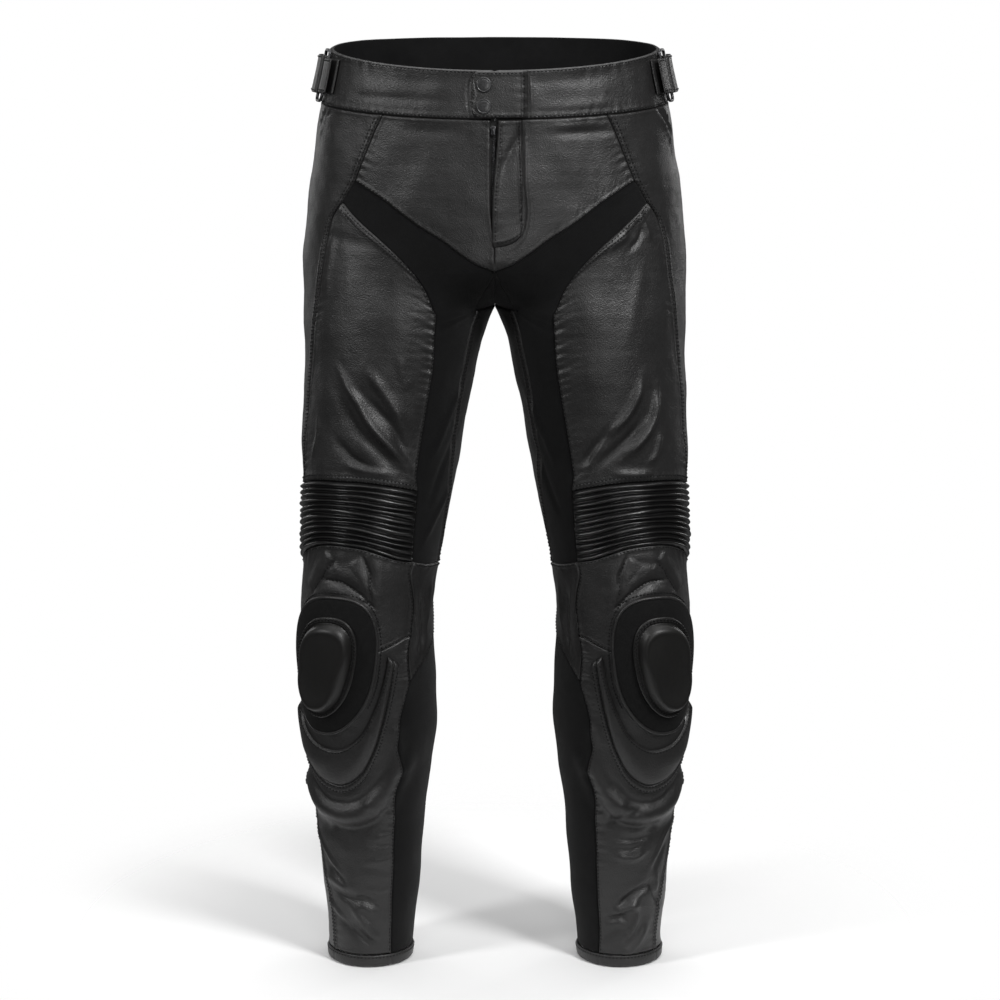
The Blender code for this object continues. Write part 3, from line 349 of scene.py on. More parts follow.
# Each cut piece: its slot, its four edges, and the rows of stitches along an edge, as distances
# from it. An edge is names of seams (- means backwards), or ("waist" or "rim", from, to, count)
# along an edge of the waistband, or ("rise", turn, count) up across it.
ONE_ROW = (2.3,)
TWO_ROWS = (2.1, 6.2)
PANELS = {
    "front_yoke": {
        "slot": "leather",
        "finer": 2,
        "edges": (("-yoke_base",), ("waist", 0.007, 0.215, 6), ("-fly_edge",), ("-side_above_v",)),
        "rows": {"bottom": ONE_ROW},
    },
    "side_panel": {
        "slot": "leather",
        "edges": (("rib_top_side*6",), ("waist", 0.215, 0.620, 6),
            ("-side_thigh", "-side_at_v", "-side_above_v"), ("-back_side", "-seat_side")),
        "rows": {"left": TWO_ROWS, "bottom": TWO_ROWS},
    },
    "seat": {
        "slot": "leather",
        "edges": (("seat_base",), ("waist", 0.620, 1.0, 7), ("-seat_side",), ("-centre_back",)),
        "rows": {"left": TWO_ROWS, "bottom": TWO_ROWS, "right": ONE_ROW},
    },
    "gusset": {
        "slot": "stretch_cloth",
        "edges": (("gusset_base",), ("gusset_top",), ("-gusset_centre",), ("-gusset_side",)),
        "lift": -0.6,
    },
    "thigh_front": {
        "slot": "leather",
        "finer": 2,
        "edges": (("rib_top",), ("-thigh_top",), ("-thigh_inner",), ("-side_thigh",)),
        "rows": {"bottom": TWO_ROWS, "top": TWO_ROWS, "left": ONE_ROW},
        "pucker": {"left": (0.95, 13.0)},
    },
    "stretch_front": {
        "slot": "stretch_cloth",
        "edges": (("-knee_inner_top",), ("side_at_v",),
            ("-inseam", "-gusset_side", "-gusset_top", "-yoke_base"),
            ("-rib_inner", "-thigh_inner", "-thigh_top")),
        "lift": -0.6,
    },
    "back_thigh": {
        "slot": "leather",
        "edges": (("-knee_back", "-knee_back_inner"), ("<seat_base", "gusset_base"),
            ("<-rib_outer", "<-back_side"), ("-inseam",)),
        "rows": {"left": ONE_ROW, "right": TWO_ROWS, "bottom": ONE_ROW},
        "legs_only": True,
    },
    "knee_cup": {
        "slot": "leather",
        "finer": 2,
        "edges": (("knee_cross",), ("rib_base",), ("-knee_inner",), ("-knee_outer",)),
        "rows": {"top": ONE_ROW, "bottom": ONE_ROW, "left": ONE_ROW},
        "pucker": {"top": (0.8, 9.0)},
    },
    "inner_knee": {
        "slot": "leather",
        "edges": (("-knee_inner_low",), ("-knee_back_inner", "-knee_inner_top"), ("calf_top",),
            ("-knee_inner",)),
        "rows": {"left": ONE_ROW, "top": ONE_ROW},
    },
    "shin": {
        "slot": "leather",
        "finer": 1.4,
        "edges": (("hem_shin",), ("knee_cross",), ("-shin_inner", "-knee_inner_low"), ("-shin_outer",)),
        "rows": {"left": ONE_ROW, "right": ONE_ROW},
        "pucker": {"left": (0.9, 9.0)},
    },
    "inner_calf": {
        "slot": "stretch_cloth",
        "edges": (("-hem_calf",), ("-calf_top",), ("-calf_back",), ("-shin_inner",)),
        "lift": -0.6,
    },
    "outer_calf": {
        "slot": "leather",
        "edges": (("-hem_outer",), ("-knee_back",), ("<-shin_outer", "<-knee_outer"), ("-calf_back*24",)),
        "rows": {"left": ONE_ROW, "right": ONE_ROW, "top": ONE_ROW},
    },
    "waistband_front": {
        "slot": "leather",
        "finer": 2,
        "edges": (("waist", 0.003, 0.42, 9), ("rim", 0.003, 0.42, 9), ("rise", 0.003, 2),
            ("rise", 0.42, 2)),
        "rows": {"top": ONE_ROW, "bottom": ONE_ROW},
        "lift": BAND_LIFT,
        "thickness": BAND,
    },
}
WAISTBAND_BACK = {
    "slot": "leather",
    "edges": (("waist", 0.42, 1.58, 19), ("rim", 0.42, 1.58, 19), ("rise", 0.42, 2), ("rise", 1.58, 2)),
    "rows": {"top": ONE_ROW, "bottom": ONE_ROW, "left": ONE_ROW, "right": ONE_ROW},
    "lift": BAND_LIFT,
    "thickness": BAND,
}

RIBS = {"count": 12, "height": 3.9, "rows": 12, "roundness": 1.3}

# The hook-and-loop patch and the puck: a rounded outline round a place on the leg. Rings of the
# patch are shares of its outline, on top with how far each lies below the top. Rings of the
# puck are (distance in from its edge, height over its base when it is 13 high).
PATCH = {
    "turn": 0.346,
    "z": -622.0,
    "half_width": 52.0,
    "top": 79.0,
    "bottom": 75.0,
    "slant": 0.15,
    "squareness": 0.82,
    "narrowing": 0.12,
    "thickness": 2.0,
    "piping": 1.9,
    "piping_out": 1.7,
    "stitches_out": 7.2,
    "stitches_end_z": -668.0,
    "under": (0.0, 0.3, 0.6, 0.85, 1.0),
    "over": (
        (1.0, 0.5), (0.99, 0.1), (0.97, 0.0), (0.93, 0.0), (0.88, 0.0),
        (0.82, 0.0), (0.76, 0.0), (0.6, 0.0), (0.3, 0.0), (0.0, 0.0),
    ),
}
PUCK = {
    "turn": 0.348,
    "z": -622.0,
    "half_width": 34.0,
    "top": 61.0,
    "bottom": 56.0,
    "slant": 0.18,
    "squareness": 0.86,
    "narrowing": 0.12,
    "height": 10.0,
    "stitches_in": (2.2, 4.2),
    "under": (0.0, 0.5, 0.9),
    "over": (
        (0.0, 0.0), (0.0, 1.5), (0.4, 2.3), (1.2, 2.8), (2.2, 2.6), (3.2, 2.9), (4.2, 2.6), (5.0, 2.9),
        (5.6, 2.5), (6.0, 2.0), (6.6, 2.4), (7.6, 4.4), (9.0, 7.4), (10.6, 10.2), (12.0, 11.8),
        (13.6, 12.7), (15.0, 13.0), (16.2, 12.8), (17.2, 12.3), (18.6, 12.1),
    ),
    "face": (0.85, 0.65, 0.45, 0.25, 0.1, 0.0),
}
KNEE_CLEARANCE = 0.9

# The shin pad: a stitched border along its outer line, then a swell up to its inner line. The
# places of the grid are distances from each line, where the pad is at least full_width wide.
SHIN_PAD = {
    "edge": 1.5,
    "height": 4.0,
    "outer": (
        (0.169, -616), (0.191, -657), (0.210, -692), (0.234, -727), (0.268, -755), (0.315, -768),
        (0.370, -766), (0.426, -754), (0.485, -734), (0.505, -700),
    ),
    "inner": (
        (0.196, -606), (0.215, -640), (0.240, -672), (0.272, -700), (0.320, -716), (0.375, -716),
        (0.430, -706), (0.475, -690), (0.492, -672),
    ),
    "stretches": 16,
    "full_width": 19.0,
    "border": (0.2, 0.6, 1.1, 1.7, 2.2, 2.7, 3.6, 5.0, 6.3, 6.9, 7.4, 7.9, 8.6, 9.4, 10.2, 11.2),
    "far_side": (3.4, 2.5, 1.8, 1.1, 0.5, 0.2),
    "rows": (2.2, 7.4),
    "far_row": 2.6,
    "border_end": 9.6,
}
FLY = {
    "left": ((3.4, -33), (2.6, -55), (0.4, -82), (-1.6, -105), (-2.6, -130), (-2.6, -164)),
    "right": 29.0,
    "curve_z": -147.0,
    "curve_drop": 17.0,
    "tape_half_width": 12.0,
    "tape_end_z": -150.0,
    "tape_top_z": -34.0,
    "tape_thickness": 1.0,
    "teeth_z": (-148.0, -52.0, 1.15),
    "slider_z": -44.0,
}

# One tooth of the zip: its corners, and its faces
TOOTH = (
    (-1.5, -0.45, -0.6), (1.5, -0.45, -0.6), (1.5, 0.45, -0.6), (-1.5, 0.45, -0.6),
    (-1.2, -0.3, 0.6), (1.1, -0.3, 0.6), (1.1, 0.3, 0.6), (-1.2, 0.3, 0.6),
)
TOOTH_FACES = ((0, 3, 2, 1), (4, 5, 6, 7), (0, 1, 5, 4), (1, 2, 6, 5), (2, 3, 7, 6), (3, 0, 4, 7))
TAB = {
    "left": -23.6,
    "right": 34.0,
    "corner": 9.0,
    "thickness": 2.6,
    "snap_x": -11.0,
    "snap_high_z": 3.0,
    "snap_low_z": -19.0,
}

# Section of a press stud: (radius, height)
STUD = (
    (0.0, -0.3), (8.0, -0.3), (8.1, 0.3), (8.0, 0.9), (7.7, 1.35), (7.2, 1.6), (6.7, 1.6), (6.35, 1.35),
    (6.1, 1.3), (5.6, 1.55), (4.8, 1.75), (3.6, 1.9), (2.0, 2.0), (0.9, 2.0), (0.0, 2.0),
)
ADJUSTER = {
    "turn": 0.372,
    "arc_of_turn": 470.0,
    "front_bar": 20.0,
    "back_bar": 40.0,
    "bar_height": 5.5,
    "bend": 3.6,
    "strap": 2.2,
    "wire": 3.4,
    "corner": 5.0,
    "tab_z": (-10.0, 26.0),
    "strap_z": (-11.0, 29.0),
    "ring_z": (-18.0, 35.0),
}
HIP_PANELS = ("front_yoke", "side_panel", "seat", "waistband_front")
STITCH = {"pitch": 4.2, "length": 2.5, "radius": 0.64}

# A stitch from end to end: share of its length, height, share of its radius
STITCH_SECTION = ((-0.5, -0.20, 0.45), (-0.28, 0.16, 1.0), (0.28, 0.16, 1.0), (0.5, -0.20, 0.45))

# The camera and the photographed object's place in the picture
CAMERA_AT = (0.0055, -3.1464, 0.1302)
CAMERA_TILT = math.radians(90.0 - 10.5)
CAMERA_LENS = 105.0
CAMERA_SENSOR = 36.0
CAMERA_REACH = 2000.0
FLOOR_Z = -0.9775
FLOOR_MIDDLE_Y = 0.12
FLOOR_RADIUS = 0.62
FLOOR_FADE = (0.27, 0.60)
WORLD_LIGHT = 0.13
BACKDROP = 1.0

# Leather tones: deep, raised, lighter at the seams as wear and as a painted highlight on the raised seam
# edge, and both tones of the ribs
LEATHER_DARK = (0.0075, 0.0073, 0.0073)
LEATHER_LIGHT = (0.0140, 0.0136, 0.0136)
LEATHER_WEAR_AND_HIGHLIGHT = (0.017, 0.0165, 0.0165)
# The rib tones are darker than the other leather: painted shade of the deep grooves between the ribs
RIB_GROOVE_SHADE_DARK = (0.0022, 0.0021, 0.0021)
RIB_GROOVE_SHADE_LIGHT = (0.0045, 0.0044, 0.0044)

# Lights: name, place, the point that it faces, width and height, power
LIGHTS = (
    ("key", (1.7, -2.2, 1.9), (0.0, 0.0, -0.75), (0.7, 0.9), 98.0),
    ("fill", (-2.4, -1.5, 1.2), (0.0, 0.0, -0.75), (0.5, 1.3), 40.0),
    ("front", (-0.3, -2.6, 2.4), (0.0, 0.0, -0.4), (1.0, 0.4), 12.0),
    ("low", (0.55, -2.7, -0.1), (0.0, 0.0, -0.6), (0.5, 0.9), 9.0),
    ("rim_right", (2.4, 2.8, 0.4), (0.1, 0.0, -0.45), (0.4, 1.6), 13.0),
    ("rim_left", (-2.4, 2.8, 0.4), (-0.1, 0.0, -0.45), (0.4, 1.6), 11.0),
    ("top", (0.1, 0.5, 2.3), (0.0, 0.1, -0.9), (2.6, 2.6), 57.0),
)


# Sizes read smoothly from a table

def smooth(xs, values, x):
    xs, values = np.asarray(xs, float), np.asarray(values, float)
    slopes = np.gradient(values, xs)
    x = np.clip(x, xs[0], xs[-1])
    i = np.clip(np.searchsorted(xs, x) - 1, 0, len(xs) - 2)
    step = xs[i + 1] - xs[i]
    s = (x - xs[i]) / step
    start = values[i] * (1 + 2 * s) * (1 - s) ** 2 + step * slopes[i] * s * (1 - s) ** 2
    end = values[i + 1] * s * s * (3 - 2 * s) + step * slopes[i + 1] * s * s * (s - 1)
    return start + end


def sizes(table, columns, z):
    rows = np.array(table, float).T
    return {name: smooth(rows[0], rows[i], z) for i, name in enumerate(columns) if i}


def ease(share):
    share = np.clip(share, 0.0, 1.0)
    return share * share * (3 - 2 * share)


def unit(vectors):
    return vectors / np.maximum(np.linalg.norm(vectors, axis=-1, keepdims=True), 1e-9)


def bell(distance, width, power=2):
    """1 at no distance, falling off smoothly over the width."""
    return np.exp(-((distance / width) ** power))


def read_at(stops, run, values):
    """The rows of a list of values, read between its own places."""
    return np.stack([np.interp(stops, run, values[:, i]) for i in range(values.shape[1])], 1)


def run_of(points):
    """How far along a line each of its points is."""
    return np.concatenate([[0], np.cumsum(np.linalg.norm(np.diff(points, axis=0), axis=1))])


def smooth_line(points, count, turn_length=1.0):
    """A smooth line through points, at even steps, and how far along it each step is."""
    steps = np.hypot(np.diff(points[:, 0]) * turn_length, np.diff(points[:, 1]))
    knots = np.concatenate([[0], np.cumsum(steps)])
    fine = np.linspace(0, knots[-1], count)
    if len(points) == 2:
        return read_at(fine, knots, points), fine
    return np.stack([smooth(knots, points[:, i], fine) for i in (0, 1)], 1), fine


# The garment surface

def level(edge, turn):
    c = np.cos(np.pi * np.asarray(turn, float))
    middle = (edge["back"] + edge["front"]) / 2
    return edge["side"] - (edge["back"] - edge["front"]) / 2 * c + (middle - edge["side"]) * c * c


def leg_point(turn, z):
    at = sizes(LEG, LEG_COLUMNS, z)
    c, s = np.cos(2 * np.pi * turn), np.sin(2 * np.pi * turn)
    middle_x, half_width = (at["inner_x"] + at["outer_x"]) / 2, (at["outer_x"] - at["inner_x"]) / 2
    depth = np.where(s > 0, at["middle_y"] - at["front_y"], at["back_y"] - at["middle_y"])
    return middle_x - half_width * c, at["middle_y"] - depth * s


def torso_point(turn, z):
    at = sizes(TORSO, TORSO_COLUMNS, z)
    c, s = np.cos(np.pi * turn), np.sin(np.pi * turn)
    return at["half_width"] * s, np.where(c > 0, at["front_y"], -at["back_y"]) * c


def hip_share(turn, z):
    back = (1 - np.cos(np.pi * turn)) / 2
    rise = CROTCH_CURVE["front"] * (1 - back) + CROTCH_CURVE["back"] * back
    up = np.clip((z - CROTCH_Z) / rise, 0.0, 1.0)
    round_curve = np.sqrt(1 - (1 - up) ** 2)
    gentle = ease((z - THIGH_BLEND[0]) / (THIGH_BLEND[1] - THIGH_BLEND[0]))
    outward = ease(np.minimum(turn, 1 - turn) / CURVE_TURNS)
    mixed = round_curve * (1 - outward) + gentle * outward
    return np.where((turn < 0) | (turn > 1), 1.0, mixed)


def surface(turn, z):
    turn, z = np.broadcast_arrays(np.asarray(turn, float), np.asarray(z, float))
    turn = np.where(z <= CROTCH_Z, turn % 1.0, turn)
    share = hip_share(turn, z)
    leg_x, leg_y = leg_point(turn, z)
    hip_x, hip_y = torso_point(turn, z)
    x = leg_x * (1 - share) + hip_x * share
    y = leg_y * (1 - share) + hip_y * share
    return np.stack([x, y, z + 0.0 * x], axis=-1)


def normals(turn, z, legs_only=False):
    turn, z = np.broadcast_arrays(np.asarray(turn, float), np.asarray(z, float))
    d_turn, d_z = 0.002, 1.0
    hips = (z > CROTCH_Z - 0.5) & (not legs_only)
    z_low = np.where(hips, np.maximum(z - d_z, CROTCH_Z + 0.01), z - d_z)
    z_high = np.where(hips, z + d_z, np.minimum(z + d_z, CROTCH_Z - 0.01))
    split = hips & (z < HALVES_MEET_Z)
    turn_low = np.where(split & (turn >= 0), np.maximum(turn - d_turn, 0), turn - d_turn)
    turn_high = np.where(split & (turn <= 1), np.minimum(turn + d_turn, 1), turn + d_turn)
    across = surface(turn_high, z) - surface(turn_low, z)
    up = surface(turn, z_high) - surface(turn, z_low)
    found = unit(np.cross(across, up))
    on_centre = hips & ((np.abs(turn) < 1e-6) | (np.abs(turn - 1) < 1e-6))
    flat = found.copy()
    flat[..., 0] = 0.0
    flat = unit(flat)
    flat[on_centre & (z < CROTCH_Z + 0.5)] = (0.0, 0.0, -1.0)
    return np.where(on_centre[..., None], flat, found)


def girth(z):
    at = sizes(LEG, LEG_COLUMNS, z)
    return math.pi / 2 * ((at["outer_x"] - at["inner_x"]) + (at["back_y"] - at["front_y"]))


def crease_line(points):
    return smooth_line(np.array(points, float), 4 * len(points), TURN_LENGTH)[0]


def beside(turn, z, points, around_leg):
    """The distance of each place from a line on the cloth, and the share of the way along it."""
    nearest, along = np.full(np.shape(turn), 1e9), np.zeros(np.shape(turn))
    last = len(points) - 1
    for k, ((turn_a, z_a), (turn_b, z_b)) in enumerate(zip(points[:-1], points[1:])):
        length_u, length_z = (turn_b - turn_a) * around_leg, z_b - z_a
        du, dz = (turn - turn_a) * around_leg, z - z_a
        share = np.clip((du * length_u + dz * length_z) / (length_u ** 2 + length_z ** 2), 0, 1)
        found = np.hypot(du - share * length_u, dz - share * length_z)
        closer = found < nearest
        nearest, along = np.where(closer, found, nearest), np.where(closer, (k + share) / last, along)
    return nearest, along


def relief(turn, z, half, creased=True):
    """How far the knee dome, the folds and the creases stand out from the plain surface."""
    turn, z = np.broadcast_arrays(np.asarray(turn, float), np.asarray(z, float))
    on_leg = np.where(z <= CROTCH_Z, turn % 1.0, turn)
    around_leg = girth(z)
    sideways = (on_leg - DOME["turn"]) * around_leg / DOME["half_width"]
    far = np.hypot(sideways, (z - DOME["z"]) / DOME["half_height"])
    total = DOME["height"] * ease(DOME["slope"] * (1 - far)) * (z < CROTCH_Z)
    folds = [(*row, False) for row in FOLDS] + [(*row, True) for row in CREASES[half] if creased]
    for height, half_width, points, tapered in folds:
        line = crease_line(points)
        low, high, reach = line.min(0), line.max(0), FOLD_REACH * half_width
        close = (z > low[1] - reach) & (z < high[1] + reach)
        reach = reach / LEAST_TURN_LENGTH
        close &= (on_leg > low[0] - reach) & (on_leg < high[0] + reach)
        if not close.any():
            continue
        distance, along = beside(on_leg[close], z[close], line, around_leg[close])
        if tapered:
            height, half_width = height * CREASE_GAIN["height"], half_width * CREASE_GAIN["width"]
        shape = height * bell(distance, half_width)
        if tapered:
            shape = shape * (0.15 + 0.85 * ease(np.minimum(along, 1 - along) / 0.3))
        total[close] += shape
    if creased:
        total += quilting(on_leg, z, around_leg)
    return total


def quilting(turn, z, around_leg):
    """The sewn lines of the knee cup and the padding that swells beside them."""
    total = np.zeros(turn.shape)
    (low_turn, high_turn), (low_z, high_z) = QUILT_AREA["turn"], QUILT_AREA["z"]
    near = (turn > low_turn) & (turn < high_turn) & (z > low_z) & (z < high_z)
    if not near.any():
        return total
    swell = np.zeros(near.sum())
    for points in QUILT:
        distance, along = beside(turn[near], z[near], crease_line(points), around_leg[near])
        fade = ease(np.minimum(along, 1 - along) / QUILT_SHAPE["end_fade"] + QUILT_SHAPE["end_share"])
        total[near] -= fade * QUILT_SHAPE["groove"] * bell(distance, QUILT_SHAPE["groove_width"])
        beyond = bell(distance - QUILT_SHAPE["swell_at"], QUILT_SHAPE["swell_width"])
        swell = np.maximum(swell, fade * QUILT_SHAPE["swell"] * beyond)
    total[near] += swell
    return total


def waves(wavelength, count, seed):
    random = np.random.RandomState(seed)
    ways = unit(random.normal(size=(count, 3)))
    lengths = wavelength * random.uniform(0.75, 1.35, count)
    return ways * (2 * np.pi / lengths)[:, None], random.uniform(0, 2 * np.pi, count)


SOFT_WAVES = waves(52.0, 14, 11)
SMALL_WAVES = waves(17.0, 14, 12)
TINY_WAVES = waves(7.5, 16, 13)


def ripple(points, sets):
    """A soft unevenness of about the given heights, from fixed waves."""
    total = np.zeros(points.shape[:-1])
    for height, (ways, phases) in sets:
        total += height * np.sin(points @ ways.T + phases).sum(-1) / math.sqrt(len(phases) / 2)
    return total


UNEVEN = {
    "leather": ((0.42, SOFT_WAVES), (0.10, SMALL_WAVES), (0.02, TINY_WAVES)),
    "stretch_cloth": ((0.30, SOFT_WAVES), (0.05, SMALL_WAVES)),
}


def raised(plain, out, height):
    """Points at a height over the plain surface, half a seam gap away from the middle."""
    points = plain + out * np.asarray(height)[..., None]
    points[..., 0] += SEAM_GAP / 2
    return points


def cloth(turn, z, half, lift=0.0, legs_only=False, slot="leather"):
    """The points and normals of the cloth's outer face, in the coordinates of half 1."""
    out = normals(turn, z, legs_only)
    plain = surface(turn, z)
    height = relief(turn, z, half) + ripple(mirrored(plain, half), UNEVEN[slot]) + lift
    return raised(plain, out, height), out


# Seams and patches

def along_seam(points, count):
    points = np.array([(turn, level(WAIST_SEAM, turn) if z is None else z) for turn, z in points])
    line = smooth_line(points, 40 * len(points), TURN_LENGTH)[0]
    run = run_of(surface(*line.T))
    return read_at(np.linspace(0, run[-1], count + 1), run, line)


def edge_line(edge):
    """The fine line of one edge of a cut piece."""
    if edge[0] in ("waist", "rim"):
        kind, start, end, count = edge
        turns = np.linspace(start, end, count * FINE + 1)
        return np.stack([turns, level(WAIST_SEAM if kind == "waist" else RIM, turns)], 1)
    if edge[0] == "rise":
        _, turn, count = edge
        z = np.linspace(level(WAIST_SEAM, turn), level(RIM, turn), count * FINE + 1)
        return np.stack([np.full(len(z), turn), z], 1)
    lines = []
    for name in edge:
        name, _, count = name.partition("*")
        stretches, points = SEAMS[name.lstrip("<-")]
        line = along_seam(points, int(count or stretches) * FINE)
        if "-" in name:
            line = line[::-1]
        if "<" in name:
            line = line - np.array([1.0, 0.0])
        lines.append(line if not lines else line[1:])
    return np.concatenate(lines)


def measure(line):
    return np.linalg.norm(np.diff(surface(*line.T), axis=0), axis=1).sum()


def graded(count, cell, rows_low, rows_high, finer=1):
    """Places of the grid's lines, as fractional indexes: close together near both edges."""
    def near(rows):
        steps = list(EDGE_LINES)
        for row in rows:
            steps += [row - STITCH_LINES, row, row + STITCH_LINES]
        steps += [steps[-1] + LAST_LINE]
        return np.array(sorted(set(steps))) / cell

    low, high = near(rows_low), near(rows_high)
    if low[-1] + high[-1] > 0.8 * count:
        steps = np.linspace(0.0, count, int(count * finer) + 1)
    else:
        first, last = math.ceil((low[-1] + 0.35) * finer), math.floor((count - high[-1] - 0.35) * finer)
        middle = np.arange(first, last + 1) / finer
        steps = np.concatenate([low, middle, count - high[::-1]])
    if len(steps) % 2 == 0:
        k = len(steps) // 2
        steps = np.insert(steps, k, (steps[k - 1] + steps[k]) / 2)
    return steps


def at_index(line, places):
    return read_at(places, np.arange(len(line)), line)


def patch_between(bottom, top, left, right, rows, finer=1):
    """The places (turn, z) inside four edges, on a graded grid."""
    grid = []
    for first, second, low, high in ((bottom, top, "left", "right"), (left, right, "bottom", "top")):
        stretches = len(first) - 1
        size = max((measure(first) + measure(second)) / 2, 1.0)
        grid.append(graded(stretches, size / stretches, rows.get(low, ()), rows.get(high, ()), finer))
    return ruled_between(bottom, top, left, right, *grid)


def ruled_between(bottom, top, left, right, across_at, up_at):
    """The places (turn, z) inside four edges, where the given grid lines cross."""
    across = (across_at / (len(bottom) - 1))[None, :, None]
    up = (up_at / (len(left) - 1))[:, None, None]
    low_corners = (1 - across) * bottom[0] + across * bottom[-1]
    high_corners = (1 - across) * top[0] + across * top[-1]
    bottom, top = at_index(bottom, across_at), at_index(top, across_at)
    left, right = at_index(left, up_at), at_index(right, up_at)
    ruled = (1 - up) * bottom[None] + up * top[None] + (1 - across) * left[:, None] + across * right[:, None]
    return ruled - ((1 - up) * low_corners + up * high_corners)


def distances_in(places):
    """The distances on the cloth from the left, right, bottom and top edge of a piece."""
    points = surface(places[..., 0], places[..., 1])
    across = np.linalg.norm(np.diff(points, axis=1), axis=2)
    up = np.linalg.norm(np.diff(points, axis=0), axis=2)
    from_left = np.concatenate([np.zeros((len(points), 1)), np.cumsum(across, 1)], 1)
    from_low = np.concatenate([np.zeros((1, points.shape[1])), np.cumsum(up, 0)], 0)
    return {
        "left": from_left,
        "right": from_left[:, -1:] - from_left,
        "bottom": from_low,
        "top": from_low[-1:] - from_low,
    }


# Meshes

def mirrored(points, half):
    return points * np.array([half, 1.0, 1.0])


def show(obj):
    bpy.context.scene.collection.objects.link(obj)
    return obj


def make(name, points, faces, look, tidy=False):
    mesh = bpy.data.meshes.new(name)
    mesh.from_pydata((np.asarray(points) * MM).tolist(), [], faces)
    if tidy:
        bm = bmesh.new()
        bm.from_mesh(mesh)
        bmesh.ops.remove_doubles(bm, verts=bm.verts[:], dist=1e-6)
        bmesh.ops.recalc_face_normals(bm, faces=bm.faces[:])
        if bm.calc_volume(signed=True) < 0:
            bmesh.ops.reverse_faces(bm, faces=bm.faces[:])
        bm.to_mesh(mesh)
        bm.free()
    mesh.shade_smooth()
    mesh.materials.append(LOOKS[look])
    obj = show(bpy.data.objects.new(name, mesh))
    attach(obj, BODY)
    return obj


def give(obj, name, values):
    attribute = obj.data.attributes.new(name, "FLOAT", "POINT")
    attribute.data.foreach_set("value", np.asarray(values, dtype=np.float32).ravel())


def give_uv(obj, uv):
    layer = obj.data.uv_layers.new(name="cut")
    index = np.empty(len(obj.data.loops), dtype=np.int32)
    obj.data.loops.foreach_get("vertex_index", index)
    layer.data.foreach_set("uv", np.asarray(uv, dtype=np.float32)[index].ravel())


def wall_faces(rows, columns, step):
    """Faces of a closed wall: a fine outer grid, an inner grid of every step-th place, a rim."""
    o = np.arange(rows * columns).reshape(rows, columns)
    inner_rows, inner_columns = (rows - 1) // step + 1, (columns - 1) // step + 1
    i = rows * columns + np.arange(inner_rows * inner_columns).reshape(inner_rows, inner_columns)
    faces = np.stack([o[:-1, :-1], o[:-1, 1:], o[1:, 1:], o[1:, :-1]], -1).reshape(-1, 4).tolist()
    faces += np.stack([i[:-1, :-1], i[1:, :-1], i[1:, 1:], i[:-1, 1:]], -1).reshape(-1, 4).tolist()
    edges = (o[0], i[0], False), (o[-1], i[-1], True), (o[:, 0], i[:, 0], True), (o[:, -1], i[:, -1], False)
    for outer, inner, forward in edges:
        for k in range(len(inner) - 1):
            run = outer[k * step:(k + 1) * step + 1]
            if forward:
                faces.append([*run.tolist(), int(inner[k + 1]), int(inner[k])])
            else:
                faces.append([*run[::-1].tolist(), int(inner[k]), int(inner[k + 1])])
    return faces


STITCHES = {}


def sew(key, points, out, half=1, closed=False):
    """Keeps one row of stitches, to be made later with the rest of its object."""
    points, out = mirrored(points, half), mirrored(out, half)
    if closed:
        points, out = np.concatenate([points, points[:1]]), np.concatenate([out, out[:1]])
    run, pitch = run_of(points), STITCH["pitch"]
    count = int((run[-1] - 1.0) // pitch)
    if count < 1:
        return
    centres = (run[-1] - (count - 1) * pitch) / 2 + np.arange(count) * pitch
    ahead = unit(read_at(centres + 1.0, run, points) - read_at(centres - 1.0, run, points))
    row = (read_at(centres, run, points), ahead, unit(read_at(centres, run, out)))
    STITCHES.setdefault(key, []).append(row)


def make_stitches(name, key):
    """All stitches of one object, each a small rounded bar with four rings of four points."""
    place, ahead, out = (np.concatenate([row[i] for row in STITCHES[key]]) for i in range(3))
    side = unit(np.cross(ahead, out))
    rings = []
    for along, height, size in STITCH_SECTION:
        for angle in np.arange(4) * np.pi / 2 + np.pi / 4:
            radius = STITCH["radius"] * size * 1.25
            ring = place + ahead * along * STITCH["length"] + out * (height + radius * math.sin(angle))
            rings.append(ring + side * radius * math.cos(angle))
    points = np.stack(rings, 1).reshape(-1, 3)
    local = [(0, 1, 2, 3), (15, 14, 13, 12)]
    for ring in (0, 4, 8):
        local += [(ring + k, ring + 4 + k, ring + 4 + (k + 1) % 4, ring + (k + 1) % 4) for k in range(4)]
    faces = (np.array(local)[None] + 16 * np.arange(len(place))[:, None, None]).reshape(-1, 4)
    make(name, points, faces.tolist(), "thread")


def sew_edges(key, points, out, far, rows, half):
    """Rows of stitches that follow the edges of a grid of points."""
    for edge, distances in rows.items():
        sideways = edge in ("left", "right")
        ends = ("bottom", "top") if sideways else ("left", "right")
        grid, around_it, gone, *limits = points, out, far[edge], *(far[end] for end in ends)
        if not sideways:
            grid, around_it = np.swapaxes(grid, 0, 1), np.swapaxes(around_it, 0, 1)
            gone, *limits = gone.T, *(limit.T for limit in limits)
        for distance in distances:
            line, normal = [], []
            for k in range(len(grid)):
                order = slice(None) if gone[k, 0] < gone[k, -1] else slice(None, None, -1)
                away = gone[k][order]
                if away.max() < 1.5 * distance:
                    continue
                if min(np.interp(distance, away, limit[k][order]) for limit in limits) < 1.6:
                    continue
                line.append([np.interp(distance, away, grid[k][order, i]) for i in range(3)])
                normal.append([np.interp(distance, away, around_it[k][order, i]) for i in range(3)])
            if len(line) > 3:
                sew(key, np.array(line), np.array(normal), half)


